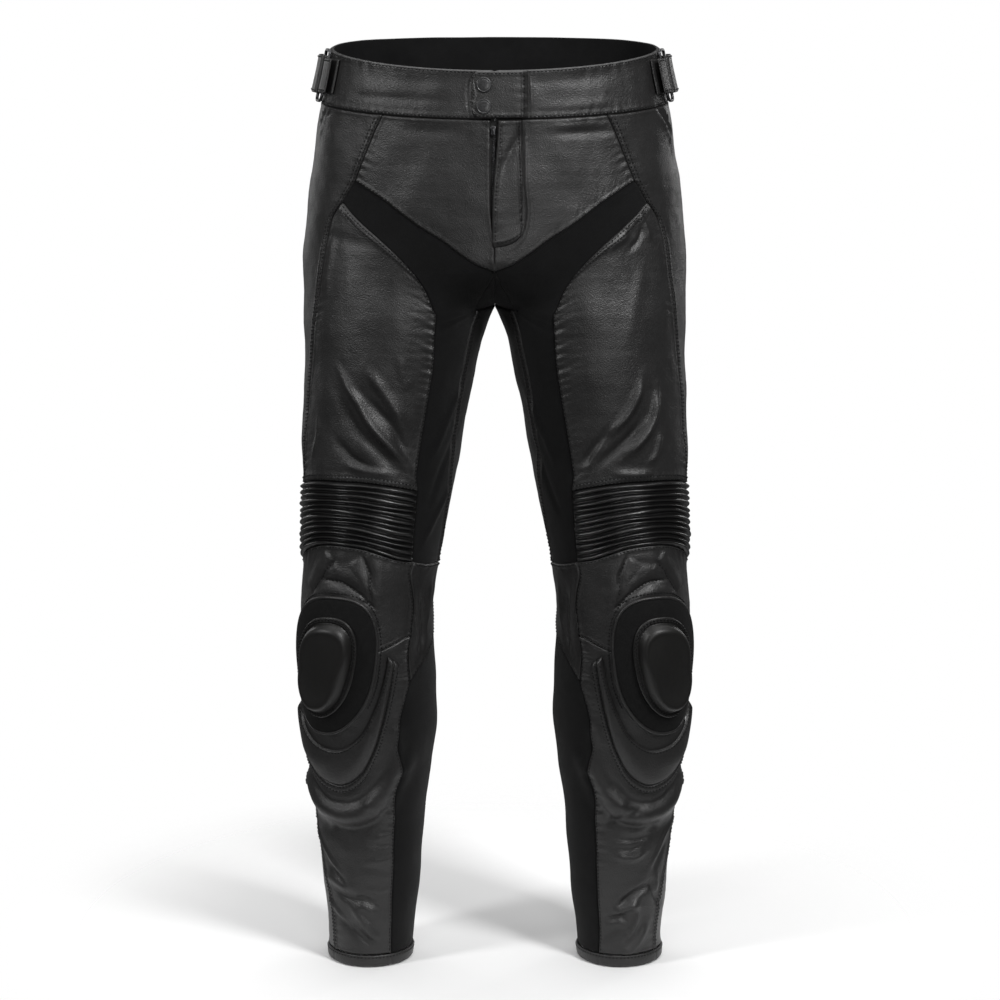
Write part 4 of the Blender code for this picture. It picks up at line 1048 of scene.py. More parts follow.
def edge_relief(far, rows, slot, pucker, points):
    """The rolled edge, the raised seam, the needle grooves and the puckers of a cut piece."""
    total = np.zeros(points.shape[:2])
    random = np.random.RandomState(5)
    leather = slot == "leather"
    shape = EDGES["leather" if leather else "other"]
    roll_depth, roll_width = shape["roll"]
    sewn_height, plain_height = shape["seam"]
    for edge, distance in far.items():
        stitched = rows.get(edge, ())
        total -= roll_depth * bell(distance, roll_width)
        if leather:
            middle = sum(stitched) / len(stitched) if stitched else 2.6
            spread = 1.9 + (stitched[-1] - stitched[0] if stitched else 0.0) / 2
            seam_height = sewn_height if stitched else plain_height
            total += seam_height * bell(np.abs(distance - middle), spread, 3)
        for row in stitched:
            total -= NEEDLE_GROOVE["depth"] * bell(distance - row, NEEDLE_GROOVE["width"])
        height, reach = pucker.get(edge, shape["pucker"])
        along = far["bottom"] if edge in ("left", "right") else far["left"]
        wave = np.zeros(points.shape[:2])
        for _ in range(4):
            length, phase = random.uniform(7.0, 15.0), random.uniform(0, 2 * np.pi)
            slant = random.uniform(-0.35, 0.35)
            wave += np.sin(2 * np.pi * (along + slant * distance) / length + phase) / 2
        patchy = 0.6 + 0.4 * np.sin(along / 31.0 + random.uniform(0, 6))
        total += height * wave * patchy * np.exp(-distance / reach) * ease(distance / 2.5)
    return total


def panel(name, node, spec, half, key):
    """One cut piece, as a closed thin wall with its edge details."""
    rows, slot = spec.get("rows", {}), spec["slot"]
    places = patch_between(*(edge_line(edge) for edge in spec["edges"]), rows, spec.get("finer", 1))
    lift, legs_only = spec.get("lift", 0.0), spec.get("legs_only", False)
    points, out = cloth(places[..., 0], places[..., 1], half, lift, legs_only, slot)
    thickness = spec.get("thickness", LEATHER if slot == "leather" else STRETCH)
    inner = (points - out * thickness)[::2, ::2]
    shaped = edge_relief(distances_in(places), rows, slot, spec.get("pucker", {}), points)
    outer = points + out * shaped[..., None]
    if node != "waistband_back":
        for grid in (outer, inner):
            grid[..., 0] = np.maximum(grid[..., 0], SEAM_GAP / 2)
    finish_sheet(name, node, places, outer, inner, out, slot, half, rows, key)


# Pieces with shapes of their own

def side_name(half):
    return "left" if half > 0 else "right"


def finish_sheet(name, node, places, outer, inner, out, look, half, rows, key):
    """A closed wall from grids that are already shaped, with its stitches and attributes."""
    far = distances_in(places)
    sew_edges(key, outer, out, far, rows, half)
    faces = wall_faces(*outer.shape[:2], 2)
    if half < 0:
        faces = [face[::-1] for face in faces]
    points = mirrored(np.concatenate([outer.reshape(-1, 3), inner.reshape(-1, 3)]), half)
    obj = make(name, points, faces, look)
    shown, hidden = ((grid.shape[0] - 1) * (grid.shape[1] - 1) for grid in (outer, inner))
    lined = np.zeros(len(faces), dtype=np.int32)
    lined[shown:shown + hidden] = 1
    obj.data.materials.append(LOOKS["lining"])
    obj.data.polygons.foreach_set("material_index", lined)
    # Near each edge of a piece: a lighter tone, partly wear and partly a painted highlight on the raised seam
    # edge
    wear_and_highlight = bell(np.minimum.reduce(list(far.values())) - 1.6, 1.4)
    give(obj, "seam", np.concatenate([wear_and_highlight.ravel(), wear_and_highlight[::2, ::2].ravel()]))
    uv = np.stack([far["left"], far["bottom"]], -1) * MM
    give_uv(obj, np.concatenate([uv.reshape(-1, 2), uv[::2, ::2].reshape(-1, 2)]))
    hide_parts(node)
    return obj


def ribbed_panel(half):
    node, count = f"ribbed_panel_{side_name(half)}", RIBS["count"]
    edges = ("rib_base",), ("rib_top", "rib_top_side"), ("-rib_inner",), ("-rib_outer",)
    lines = [edge_line(edge) for edge in edges]
    columns, stretches = len(lines[0]) - 1, len(lines[2]) - 1
    width = (measure(lines[0]) + measure(lines[1])) / 2
    across_at = graded(columns, width / columns, (), ())
    up_at = np.linspace(0.003, 0.997, count * RIBS["rows"] + 1) * stretches
    places = ruled_between(*lines, across_at, up_at)
    points, out = cloth(places[..., 0], places[..., 1], half)
    far = distances_in(places)
    to_side = np.minimum(far["left"], far["right"])
    u, v = (across_at / columns)[None], (up_at / stretches)[:, None]
    number = v * count
    sway = 0.13 * np.sin(6.0 * u + 2.1 * number) * np.sin(np.pi * np.clip(v, 0, 1))
    phase = number + (sway + 0.05 * np.sin(17.0 * u + 1.3 * number))
    uneven = np.random.RandomState(21 + half).uniform(0.82, 1.16, count + 1)
    size = np.interp(phase, np.arange(count + 1) + 0.5, uneven) * (1 + 0.10 * np.sin(11.0 * u + 3.0 * number))
    ridge = RIBS["height"] * size * np.abs(np.sin(np.pi * phase)) ** RIBS["roundness"]
    ridge *= ease(to_side / 5.0)
    outer = points + out * (ridge - 0.9 * bell(to_side, 1.1))[..., None]
    inner = (points - out * LEATHER)[::2, ::2]
    finish_sheet(f"{node}_pleated", node, places, outer, inner, out, "ribs", half, {}, "")


def squared(value, power):
    """A sine or cosine that is pushed out towards a box."""
    return np.sign(value) * np.abs(value) ** power


def outline(shape, count):
    angle = np.linspace(0, 2 * np.pi, count, endpoint=False)
    c, s = np.cos(angle), np.sin(angle)
    up = np.where(s > 0, shape["top"], shape["bottom"]) * squared(s, shape["squareness"])
    width = shape["half_width"] * (1 + shape["narrowing"] * s)
    return np.stack([width * squared(c, shape["squareness"]) - shape["slant"] * up, up], 1)


def inward(line, distance):
    """The outline moved in by a distance in millimetres, kept in step with its points."""
    length = np.linalg.norm(line, axis=1, keepdims=True)
    return line * np.maximum(1 - distance / length, 0.0)


def ring_points(centre, line, height, half, creased=False):
    turn = centre["turn"] + line[:, 0] / girth(centre["z"])
    z = centre["z"] + line[:, 1]
    out = normals(turn, z)
    return raised(surface(turn, z), out, relief(turn, z, half, creased) + height), out


def stacked(name, rings, look, half, closed=False):
    """A closed solid from rings of points. Without closed, the first and last are one point each."""
    rings = np.array(rings)
    if closed:
        rings = np.concatenate([rings, rings[:1]])
    rows, columns = rings.shape[:2]
    index = np.arange(rows * columns).reshape(rows, columns)
    ahead = np.roll(index, -1, 1)
    faces = np.stack([index[:-1], ahead[:-1], ahead[1:], index[1:]], -1).reshape(-1, 4).tolist()
    return make(name, mirrored(rings.reshape(-1, 3), half), faces, look, tidy=True)


def tube(name, path, out, radius, look, half, sides=10, closed=True):
    """A round bar along a path."""
    ahead = unit(np.roll(path, -1, 0) - np.roll(path, 1, 0) if closed else np.gradient(path, axis=0))
    side = unit(np.cross(out, ahead))[:, None]
    up = np.cross(ahead, side[:, 0])[:, None]
    angle = np.linspace(0, 2 * np.pi, sides, endpoint=False)[None, :, None]
    rings = path[:, None] + radius * (side * np.cos(angle) + up * np.sin(angle))
    if not closed:
        ends = [np.repeat(ring.mean(1, keepdims=True), sides, 1) for ring in (rings[:1], rings[-1:])]
        rings = np.concatenate([ends[0], rings, ends[1]])
    return stacked(name, rings, look, half, closed)


def knee_armour(half):
    """The hook-and-loop patch with its piped edge, and the moulded puck on it."""
    at, key = side_name(half), f"knee_{side_name(half)}"
    low = LAYER_GAP + KNEE_CLEARANCE
    top = low + PATCH["thickness"]
    rim = outline(PATCH, 144)
    rings = [(share, low) for share in PATCH["under"]]
    rings += [(share, top - drop) for share, drop in PATCH["over"]]
    rings = [ring_points(PATCH, rim * share, height, half)[0] for share, height in rings]
    patch = stacked(f"hook_patch_{at}_pile", rings, "hook", half)
    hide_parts(f"hook_patch_{at}")

    piping = PATCH["piping"]
    bead, out = ring_points(PATCH, inward(rim, -PATCH["piping_out"]), piping, half)
    tube(f"hook_patch_{at}_piping", bead, out, piping, "leather_plain", half)
    around = inward(outline(PATCH, 240), -PATCH["stitches_out"])
    line, out = ring_points(PATCH, around, 0.35, half, creased=True)
    keep = [k for k in np.roll(np.arange(240), 20) if PATCH["z"] + around[k, 1] > PATCH["stitches_end_z"]]
    sew(key, line[keep], out[keep], half)

    base = top + LAYER_GAP + KNEE_CLEARANCE
    edge, full, (face_in, face_height) = outline(PUCK, 144), PUCK["height"], PUCK["over"][-1]
    rings = [(edge * share, base - 0.6) for share in PUCK["under"]]
    rings += [(inward(edge, distance), base + height * full / 13.0) for distance, height in PUCK["over"]]
    for share in PUCK["face"]:
        rings.append((inward(edge, face_in) * share, base + face_height * full / 13.0 + 0.25 * (1 - share)))
    rings = [ring_points(PUCK, line, height, half)[0] for line, height in rings]
    puck = stacked(f"knee_puck_{at}_moulded", rings, "moulded", half)
    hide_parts(f"knee_puck_{at}")
    for points in QUILT:
        line = crease_line(points)[2:-2]
        place, normal = cloth(line[:, 0], line[:, 1], half)
        sew(key, place + normal * 0.25, normal, half)
    for distance in PUCK["stitches_in"]:
        line, out = ring_points(PUCK, inward(edge, distance), base + 2.75, half)
        sew(key, line, out, half, closed=True)


def shin_pad(half):
    """The padded shield under the knee slider, with its double-stitched border."""
    node, key = f"shin_pad_{side_name(half)}", f"knee_{side_name(half)}"
    count, border_end = SHIN_PAD["stretches"] * FINE, SHIN_PAD["border_end"]
    outer_line, inner_line = along_seam(SHIN_PAD["outer"], count), along_seam(SHIN_PAD["inner"], count)
    start, end = surface(*outer_line.T), surface(*inner_line.T)
    width = np.linalg.norm(end - start, axis=1)
    scale = np.minimum(1.0, width / SHIN_PAD["full_width"])
    near, far_side = (np.array(SHIN_PAD[side])[:, None] * scale[None] for side in ("border", "far_side"))
    rest = np.linspace(0, 1, 18)[1:-3, None]
    middle = near[-1:] + (width[None] - far_side[:1] - near[-1:]) * rest / rest.max() * 0.96
    distance = np.concatenate([near, middle, width[None] - far_side])
    if len(distance) % 2 == 0:
        distance = np.concatenate([distance[:18], (distance[17:18] + distance[18:19]) / 2, distance[18:]])
    share = distance / width[None]
    places = (1 - share)[..., None] * outer_line[None] + share[..., None] * inner_line[None]
    turn, z = places[..., 0], places[..., 1]
    out = normals(turn, z)
    along = np.linspace(0, 1, count + 1)[None]
    d, to_far = distance / scale[None], (width[None] - distance) / scale[None]
    base = LAYER_GAP + 1.3 * KNEE_CLEARANCE + SHIN_PAD["edge"]
    height = base - 2.2 * bell(d, 1.0) + 0.6 * np.sin(np.pi * np.clip(d / 9.4, 0, 1)) ** 0.6
    for row in SHIN_PAD["rows"]:
        height -= 0.4 * bell(d - row, 0.6)
    height -= 1.5 * bell(d - border_end, 1.0)
    inside = np.maximum(width - border_end * scale, 1.0)[None]
    swelling = np.clip((distance - border_end * scale) / inside, 0, 1)
    height += SHIN_PAD["height"] * 0.95 * np.sin(np.pi * swelling) ** 0.8
    height += 0.5 * np.sin(24 * along + 5 * swelling) * np.sin(np.pi * swelling)
    height -= 2.4 * bell(to_far, 1.2) + 0.35 * bell(to_far - 3.0, 0.6)
    ends = np.minimum(along, 1 - along) * count * np.linalg.norm(np.diff(start, axis=0), axis=1).mean()
    height = 0.9 + (height - 0.9) * ease(ends / 4.0 + 0.15)
    lift = relief(turn, z, half, False)
    plain = surface(turn, z)
    plain[..., 0] += SEAM_GAP / 2
    outer = plain + out * (lift + height)[..., None]
    inner = (plain + out * (lift + 0.4)[..., None])[::2, ::2]
    for run, row in [(d, row) for row in SHIN_PAD["rows"]] + [(to_far, SHIN_PAD["far_row"])]:
        k = int(np.argmin(np.abs(run[:, count // 2] - row)))
        sew(key, outer[k, 3:-3], out[k, 3:-3], half)
    obj = finish_sheet(
        f"{node}_quilted", node, places, outer, inner, out, "leather_plain", half, {}, "",
    )


def hem_band(half):
    """The bound edge round the hem, with a notch where each seam runs under it."""
    node = f"hem_band_{side_name(half)}"
    turns = np.linspace(0, 1, 220, endpoint=False)[:, None]
    top, bottom = HEM_SEAM_Z - 0.3, HEM_Z
    section = np.array((
        (top, -1.2), (top, 0.0), (top, 0.8), (top - 0.5, 1.3), (top - 1.3, 1.6), (top - 2.3, 1.5),
        (top - 3.2, 1.7), (top - 5.0, 1.9), (top - 7.5, 2.0), (top - 10.0, 1.8), (bottom + 1.2, 1.5),
        (bottom + 0.4, 1.0), (bottom, 0.2), (bottom, -0.6), (bottom + 0.5, -1.2), (bottom + 2.0, -1.4),
        (top - 5.0, -1.4), (top - 1.0, -1.4),
    )).T[:, None]
    z, lift = section + 0.0 * turns
    for seam_turn in (0.164, 0.405, 0.780):
        lift = lift - 0.7 * bell((turns - seam_turn) * girth(HEM_SEAM_Z), 1.1) * (section[1] > 0)
    lift = lift + 0.25 * np.sin(2 * np.pi * turns * 5 + half)
    turn = turns + 0.0 * z
    out = normals(turn, z)
    creases = relief(turn, z, half) * (0.6 * bell(z - HEM_SEAM_Z, 9.0))
    points = raised(surface(turn, z), out, creases + lift)
    obj = stacked(f"{node}_bound", points, "leather_plain", half, closed=True)
    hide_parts(node)
    sew(f"leg_{side_name(half)}", points[:, 5], out[:, 5], half, closed=True)


# The front opening

def front_turn(x, z):
    half_width = sizes(TORSO, TORSO_COLUMNS, z)["half_width"]
    return np.arcsin(x / half_width) / np.pi


def front_line(points):
    points = np.array(points, float)
    return np.stack([front_turn(points[:, 0], points[:, 1]), points[:, 1]], 1)


def height_at(edge, x, z=0.0):
    """The height of an edge of the waistband at x on the front."""
    return float(level(edge, front_turn(x, z)))


def straight(start, end, count):
    share = np.linspace(0, 1, count + 1)[:, None]
    return (1 - share) * np.array(start, float) + share * np.array(end, float)


def overlay(name, node, lines, thickness, lift, rows, look="leather", slot="leather", edge_shape=None):
    """A flat piece that lies on the front of the garment, between four lines of (x, z)."""
    places = patch_between(*(front_line(line) for line in lines), rows, 2)
    points, out = cloth(places[..., 0], places[..., 1], 1, lift)
    far = distances_in(places)
    shaped = edge_relief(far, rows, slot, {}, points)
    if edge_shape is not None:
        shaped = shaped + edge_shape(far)
    outer = points + out * shaped[..., None]
    inner = (points - out * thickness)[::2, ::2]
    finish_sheet(name, node, places, outer, inner, out, look, 1, rows, "front")


def welt(edge):
    """Two small ridges beside a row of stitches."""
    return 0.6 * (bell(edge - 2.7, 0.8) + bell(edge - 5.7, 0.8)) - 0.5 * bell(edge - 4.2, 0.7)


def front_place(x, z, lift):
    """A place on the front of the garment, and the ways out, across and up there."""
    centre, out = cloth(front_turn(np.array([x]), np.array([z])), np.array([z]), 1, lift)
    side = unit(np.cross((0.0, 0.0, 1.0), out[0]))
    return centre[0], out[0], side, np.cross(out[0], side)


def fly_placket():
    right, bend, drop = FLY["right"], FLY["curve_z"], FLY["curve_drop"]
    left_edge = np.array(FLY["left"], float)[::-1]
    left, left_top = left_edge[0, 0], left_edge[-1, 0]
    angle = np.linspace(0, np.pi / 2, 25)
    curve = np.stack([left + (right - left) * np.sin(angle), bend - drop * np.cos(angle)], 1)
    top_xs = left_top + (right - left_top) * np.sin(angle)
    top = np.stack([top_xs, [height_at(WAIST_SEAM, x, -32.0) - 0.6 for x in top_xs]], 1)
    heights = np.linspace(bend - drop, height_at(WAIST_SEAM, left_top, -32.0) - 0.6, 41)
    opening = np.stack([smooth(left_edge[:, 1], left_edge[:, 0], heights), heights], 1)
    side = straight((right, bend), (right, height_at(WAIST_SEAM, right, -32.0) - 0.6), 40)

    def edge_shape(far):
        edge = np.minimum(far["right"], far["bottom"])
        return -1.3 * bell(edge, 2.2) + 0.7 * bell(far["left"] - 2.2, 2.0) + welt(edge)

    rows = {"left": (3.4,), "right": (4.2,), "bottom": (4.2,)}
    lift = LAYER_GAP + LEATHER + 0.2
    lines = (curve, top, opening, side)
    overlay("fly_placket_sewn", "fly_placket", lines, LEATHER, lift, rows, edge_shape=edge_shape)


def fly_zip():
    """The tape behind the opening, and the teeth on it."""
    tape, end, top = FLY["tape_half_width"], FLY["tape_end_z"], FLY["tape_top_z"]
    lines = (
        straight((-tape, end), (tape, end), 12), straight((-tape, top), (tape, top), 12),
        straight((-tape, end), (-tape, top), 50), straight((tape, end), (tape, top), 50),
    )
    sunk = -(LEATHER + 3 * LAYER_GAP)
    overlay("fly_zip_tape", "fly_zip", lines, FLY["tape_thickness"], sunk, {}, "zip_tape", "zip")
    teeth, faces, block = [], [], np.array(TOOTH)
    for k, z in enumerate(np.arange(*FLY["teeth_z"])):
        way = 1 if k % 2 else -1
        centre, out, side, up = front_place(way * 0.9 - 0.6, z, sunk + 0.7)
        faces += [[len(teeth) * 8 + c for c in face] for face in TOOTH_FACES]
        teeth.append(centre + block[:, :1] * way * side + block[:, 1:2] * up + block[:, 2:] * out)
    make("fly_zip_teeth", np.concatenate(teeth), faces, "metal", tidy=True)


def zip_slider():
    """The slider's rounded body, and the bridge over it."""
    centre, out, side, up = front_place(-1.6, FLY["slider_z"], 0.2)
    angle = np.linspace(0, 2 * np.pi, 32, endpoint=False)
    x, y = squared(np.cos(angle), 0.5), squared(np.sin(angle), 0.5)
    waist = 1 - 0.25 * bell(y * 5 + 1.5, 2.0)
    rings = []
    for tilt in np.linspace(-np.pi / 2, np.pi / 2, 13):
        c, s = squared(np.cos(tilt), 0.45), squared(np.sin(tilt), 0.6)
        ring = side * (x * 3.0 * waist)[:, None] + up * (y * 5.2)[:, None]
        rings.append(centre + out * (1.3 * s) + c * ring)
    slider = stacked("zip_slider_body", rings, "metal", 1)
    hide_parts("zip_slider")
    arch = np.linspace(0, np.pi, 14)
    path = centre + up * (np.cos(arch) * 3.2)[:, None] + out * (np.sin(arch) * 2.0 + 1.0)[:, None]
    across = np.repeat(side[None], len(path), 0)
    tube("zip_slider_bridge", path, across, 0.6, "metal", 1, closed=False)


def waist_tab():
    """The tab over the opening, and the two press studs on it."""
    left, right, corner = TAB["left"], TAB["right"], TAB["corner"]
    angle = np.linspace(0, np.pi / 2, 13)
    xs = np.concatenate([left + corner * (1 - np.cos(angle)), np.linspace(left + corner, right, 25)[1:]])
    fall = corner * (1 - np.sqrt(np.clip(1 - (1 - np.clip((xs - left) / corner, 0, 1)) ** 2, 0, 1)))
    low = np.stack([xs, [height_at(WAIST_SEAM, x) + 1.0 for x in xs] + fall], 1)
    high = np.stack([xs, [height_at(RIM, x) - 1.0 for x in xs] - fall], 1)
    lines = (low, high, straight(low[0], high[0], 22), straight(low[-1], high[-1], 22))

    def edge_shape(far):
        return -1.5 * bell(far["right"], 3.0) + welt(far["right"])

    rows = {"left": (2.4,), "top": (2.4,), "bottom": (2.4,), "right": (4.2,)}
    lift = BAND_LIFT + LAYER_GAP + 0.6 + TAB["thickness"]
    overlay("waist_tab_sewn", "waist_tab", lines, TAB["thickness"], lift, rows, edge_shape=edge_shape)
    angle = np.linspace(0, 2 * np.pi, 48, endpoint=False)[:, None]
    for node, z in (("snap_upper", TAB["snap_high_z"]), ("snap_lower", TAB["snap_low_z"])):
        centre, out, side, up = front_place(TAB["snap_x"], z, lift + 0.4)
        across = side * np.cos(angle) + up * np.sin(angle)
        rings = [centre + out * height + radius * across for radius, height in STUD]
        stud = stacked(f"{node}_stud", rings, "stud", 1)
        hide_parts(node)


# The waist adjusters

def waist_place(arc, height, z):
    """Points at a distance round the waist and a height over the waistband."""
    turn = ADJUSTER["turn"] + np.asarray(arc) / ADJUSTER["arc_of_turn"]
    turn, z = np.broadcast_arrays(turn, np.asarray(z, float))
    out = normals(turn, z)
    return raised(surface(turn, z), out, BAND_LIFT + np.asarray(height) + 0.0 * turn), out


def looped_strap(node, path, z_low, z_high, half, flat):
    """A strap whose middle line is a path of (distance round the waist, height)."""
    path, strap = np.array(path, float), ADJUSTER["strap"]
    line, fine = smooth_line(path, 61)
    along = unit(np.gradient(line, axis=0))
    across = np.stack([-along[:, 1], along[:, 0]], 1)
    width = z_high - z_low
    edge_steps = np.array([0, 0.3, 0.8, 1.5, 2.2, 2.9, 3.8])
    z = z_low + np.concatenate([edge_steps, np.linspace(5, width - 5, 9), width - edge_steps[::-1]])
    edge = np.minimum(z - z_low, z_high - z)
    half_thick = strap / 2 * (1 - 0.6 * bell(edge, 0.7)) - 0.14 * bell(edge - 2.2, 0.6)
    taper = 1 - 0.6 * bell(np.minimum(fine, fine[-1] - fine), 0.8)
    grids = []
    for way in (1, -1):
        offset = way * half_thick[:, None] * taper[None]
        arc, height = (line[None, :, i] + across[None, :, i] * offset for i in (0, 1))
        grids.append(waist_place(arc, height, z[:, None] + 0.0 * arc)[0])
    points = np.concatenate([grid.reshape(-1, 3) for grid in grids])
    faces = wall_faces(*grids[0].shape[:2], 1)
    obj = make(f"{node}_sewn", mirrored(points, half), faces, "leather_plain", tidy=True)
    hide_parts(node)
    faces_of_strap = [line + way * across * (strap / 2 + 0.05) for way in (1, -1)]
    chosen = max(faces_of_strap, key=lambda face: face[:, 1].max())
    chosen = chosen[chosen[:, 1] > ADJUSTER["bar_height"] + 2.5]
    for z_at in (z_low + 2.4, z_high - 2.4):
        place, out = waist_place(*chosen.T, np.full(len(chosen), z_at))
        sew("front", place, out, half)


def adjuster(half):
    """The tab, the ring that it holds, and the strap through the ring."""
    at = side_name(half)
    bar, bend = ADJUSTER["bar_height"], ADJUSTER["bend"]
    front_bar, back_bar = ADJUSTER["front_bar"], ADJUSTER["back_bar"]
    turned = np.linspace(-np.pi / 2, np.pi / 2, 9)
    flat, high = bar - bend, bar + bend
    front = [(front_bar - 20, flat), (front_bar - 6, flat)]
    front += [(front_bar + bend * np.cos(a), bar + bend * np.sin(a)) for a in turned]
    front += [(front_bar - 6, high), (front_bar - 16, high)]
    looped_strap(f"adjuster_tab_{at}", front, *ADJUSTER["tab_z"], half, (0.047, 0.036))
    back = [(back_bar + 46, flat), (back_bar + 26, flat), (back_bar + 6, flat)]
    back += [(back_bar - bend * np.cos(a), bar + bend * np.sin(a)) for a in turned]
    back += [(back_bar + 8, high + 1), (back_bar + 22, high + 2), (back_bar + 38, high)]
    looped_strap(f"adjuster_strap_{at}", back, *ADJUSTER["strap_z"], half, (0.095, 0.040))

    (low, high), corner, path = ADJUSTER["ring_z"], ADJUSTER["corner"], []
    corners = (
        (front_bar, low, 1, 1), (back_bar, low, -1, 1),
        (back_bar, high, -1, -1), (front_bar, high, 1, -1),
    )
    ways = ((1, 0), (0, 1), (-1, 0), (0, -1))
    for k, (arc, z, to_arc, to_z) in enumerate(corners):
        start = -np.pi + k * np.pi / 2
        for a in np.linspace(start, start + np.pi / 2, 9):
            path.append((arc + corner * to_arc + corner * np.cos(a), z + corner * to_z + corner * np.sin(a)))
        reach = (back_bar - front_bar if k % 2 == 0 else high - low) - 2 * corner
        end = path[-1]
        for step in (0.25, 0.5, 0.75):
            path.append((end[0] + ways[k][0] * reach * step, end[1] + ways[k][1] * reach * step))
    path = np.array(path)
    places, out = waist_place(path[:, 0], np.full(len(path), bar), path[:, 1])
    radius = ADJUSTER["wire"] / 2
    ring = tube(f"adjuster_ring_{at}_wire", places, out, radius, "metal", half, sides=14)
    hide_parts(f"adjuster_ring_{at}")


# Materials

class Look:
    """A material with a Principled shader, and short ways to add nodes to it."""

    def __init__(self, name, colour, roughness, metallic=0.0, **sockets):
        self.material = bpy.data.materials.new(name)
        self.material.use_nodes = True
        self.nodes, self.links = self.material.node_tree.nodes, self.material.node_tree.links
        self.shader = self.nodes["Principled BSDF"]
        self.fill(self.shader, Base_Color=colour, Roughness=roughness, Metallic=metallic, **sockets)
        self.place = self.nodes.new("ShaderNodeTexCoord").outputs["Object"]

    def put(self, socket, value):
        """Links an output to a socket, or sets the socket's own value."""
        if isinstance(value, bpy.types.NodeSocket):
            self.links.new(value, socket)
        else:
            socket.default_value = (*value, 1.0) if isinstance(value, tuple) else value

    def fill(self, node, **sockets):
        for name, value in sockets.items():
            self.put(node.inputs[name.replace("_", " ")], value)

    def node(self, kind, **sockets):
        made = self.nodes.new("ShaderNode" + kind)
        self.fill(made, **sockets)
        return made

    def noise(self, scale, detail=3.0):
        made = self.node("TexNoise", Vector=self.place, Scale=scale, Detail=detail, Roughness=0.55)
        return made.outputs["Fac"]

    def between(self, value, low, high, to_low=0.0, to_high=1.0):
        made = self.node("MapRange", Value=value, From_Min=low, From_Max=high, To_Min=to_low, To_Max=to_high)
        return made.outputs["Result"]

    def mix(self, share, first, second):
        """A colour between two colours."""
        made = self.nodes.new("ShaderNodeMix")
        made.data_type = "RGBA"
        for index, value in ((0, share), (6, first), (7, second)):
            self.put(made.inputs[index], value)
        return made.outputs[2]

    def combine(self, first, second, operation="ADD"):
        made = self.nodes.new("ShaderNodeMath")
        made.operation = operation
        self.put(made.inputs[0], first)
        self.put(made.inputs[1], second)
        return made.outputs[0]

    def bump(self, height, distance, strength, before=None):
        made = self.node("Bump", Distance=distance, Strength=strength, Height=height)
        if before is not None:
            self.links.new(before, made.inputs["Normal"])
        return made.outputs["Normal"]


def leather_look(name, dark=LEATHER_DARK, light=LEATHER_LIGHT, gloss=(0.38, 0.45), grain=1.0, seams=False):
    """Fine-grained leather in two tones. With seams, the edges of a panel are lighter, as wear and as a
    painted highlight on the raised seam edge.
    """
    look = Look(name, dark, 0.38, Specular_IOR_Level=0.5)
    cells = look.node("TexVoronoi", Vector=look.place, Scale=900.0)
    cells.feature = "SMOOTH_F1"
    cells.inputs["Smoothness"].default_value = 0.6
    mottle, broad = look.noise(430.0), look.noise(38.0, 4.0)
    tone = look.combine(look.between(mottle, 0.3, 0.7, 0.0, 0.55), look.between(broad, 0.3, 0.7, 0.0, 0.55))
    rough = look.combine(look.between(mottle, 0.3, 0.7, *gloss), look.between(broad, 0.35, 0.65, -0.01, 0.02))
    colour = look.mix(tone, dark, light)
    # The seam attribute mixes in the lighter edge tone: wear and a painted highlight on the raised seam edge
    if seams:
        seam = look.nodes.new("ShaderNodeAttribute")
        seam.attribute_name = "seam"
        colour = look.mix(look.between(seam.outputs["Fac"], 0.2, 1.0, 0.0, 0.5), colour, LEATHER_WEAR_AND_HIGHLIGHT)
    pores = look.bump(mottle, 0.0008, 0.34 * grain)
    wrinkled = look.bump(cells.outputs["Distance"], 0.0006, 0.48 * grain, pores)
    look.fill(look.shader, Base_Color=colour, Roughness=rough, Normal=wrinkled)
    return look.material


def stretch_look():
    """Dark woven stretch cloth, with its threads along the cut of the piece."""
    look = Look(
        "stretch_cloth", (0.007, 0.007, 0.0075), 0.85,
        Sheen_Weight=0.045, Sheen_Roughness=0.45, Specular_IOR_Level=0.16,
    )
    cut = look.nodes.new("ShaderNodeUVMap")
    cut.uv_map = "cut"
    weave = []
    for way in ("X", "Y"):
        wave = look.node("TexWave", Vector=cut.outputs["UV"], Scale=330.0, Distortion=0.6, Detail=1.0)
        wave.bands_direction = way
        weave.append(wave.outputs["Fac"])
    thread = look.combine(*weave, "MULTIPLY")
    fuzz, broad = look.noise(900.0, 2.0), look.noise(55.0)
    tone = look.combine(look.combine(thread, 0.45, "MULTIPLY"), look.between(broad, 0.3, 0.7, 0.1, 0.5))
    look.fill(
        look.shader,
        Base_Color=look.mix(tone, (0.0020, 0.0020, 0.0021), (0.0056, 0.0056, 0.0059)),
        Roughness=look.between(fuzz, 0.3, 0.7, 0.78, 0.95),
        Normal=look.bump(fuzz, 0.0003, 0.4, look.bump(thread, 0.0004, 0.6)),
    )
    return look.material


def simple_look(name, dark, light, roughness, scale, depth, strength, metallic=0.0, **sockets):
    """A look with fine grain: two tones, uneven gloss and a small bump at one scale."""
    look = Look(name, dark, roughness, metallic, **sockets)
    grain, broad = look.noise(scale), look.noise(scale / 9.0, 2.0)
    tone = look.combine(look.between(grain, 0.3, 0.7, 0.0, 0.6), look.between(broad, 0.3, 0.7, 0.0, 0.4))
    look.fill(
        look.shader,
        Base_Color=look.mix(tone, dark, light),
        Roughness=look.between(grain, 0.3, 0.7, roughness - 0.06, roughness + 0.07),
        Normal=look.bump(grain, depth, strength),
    )
    return look.material


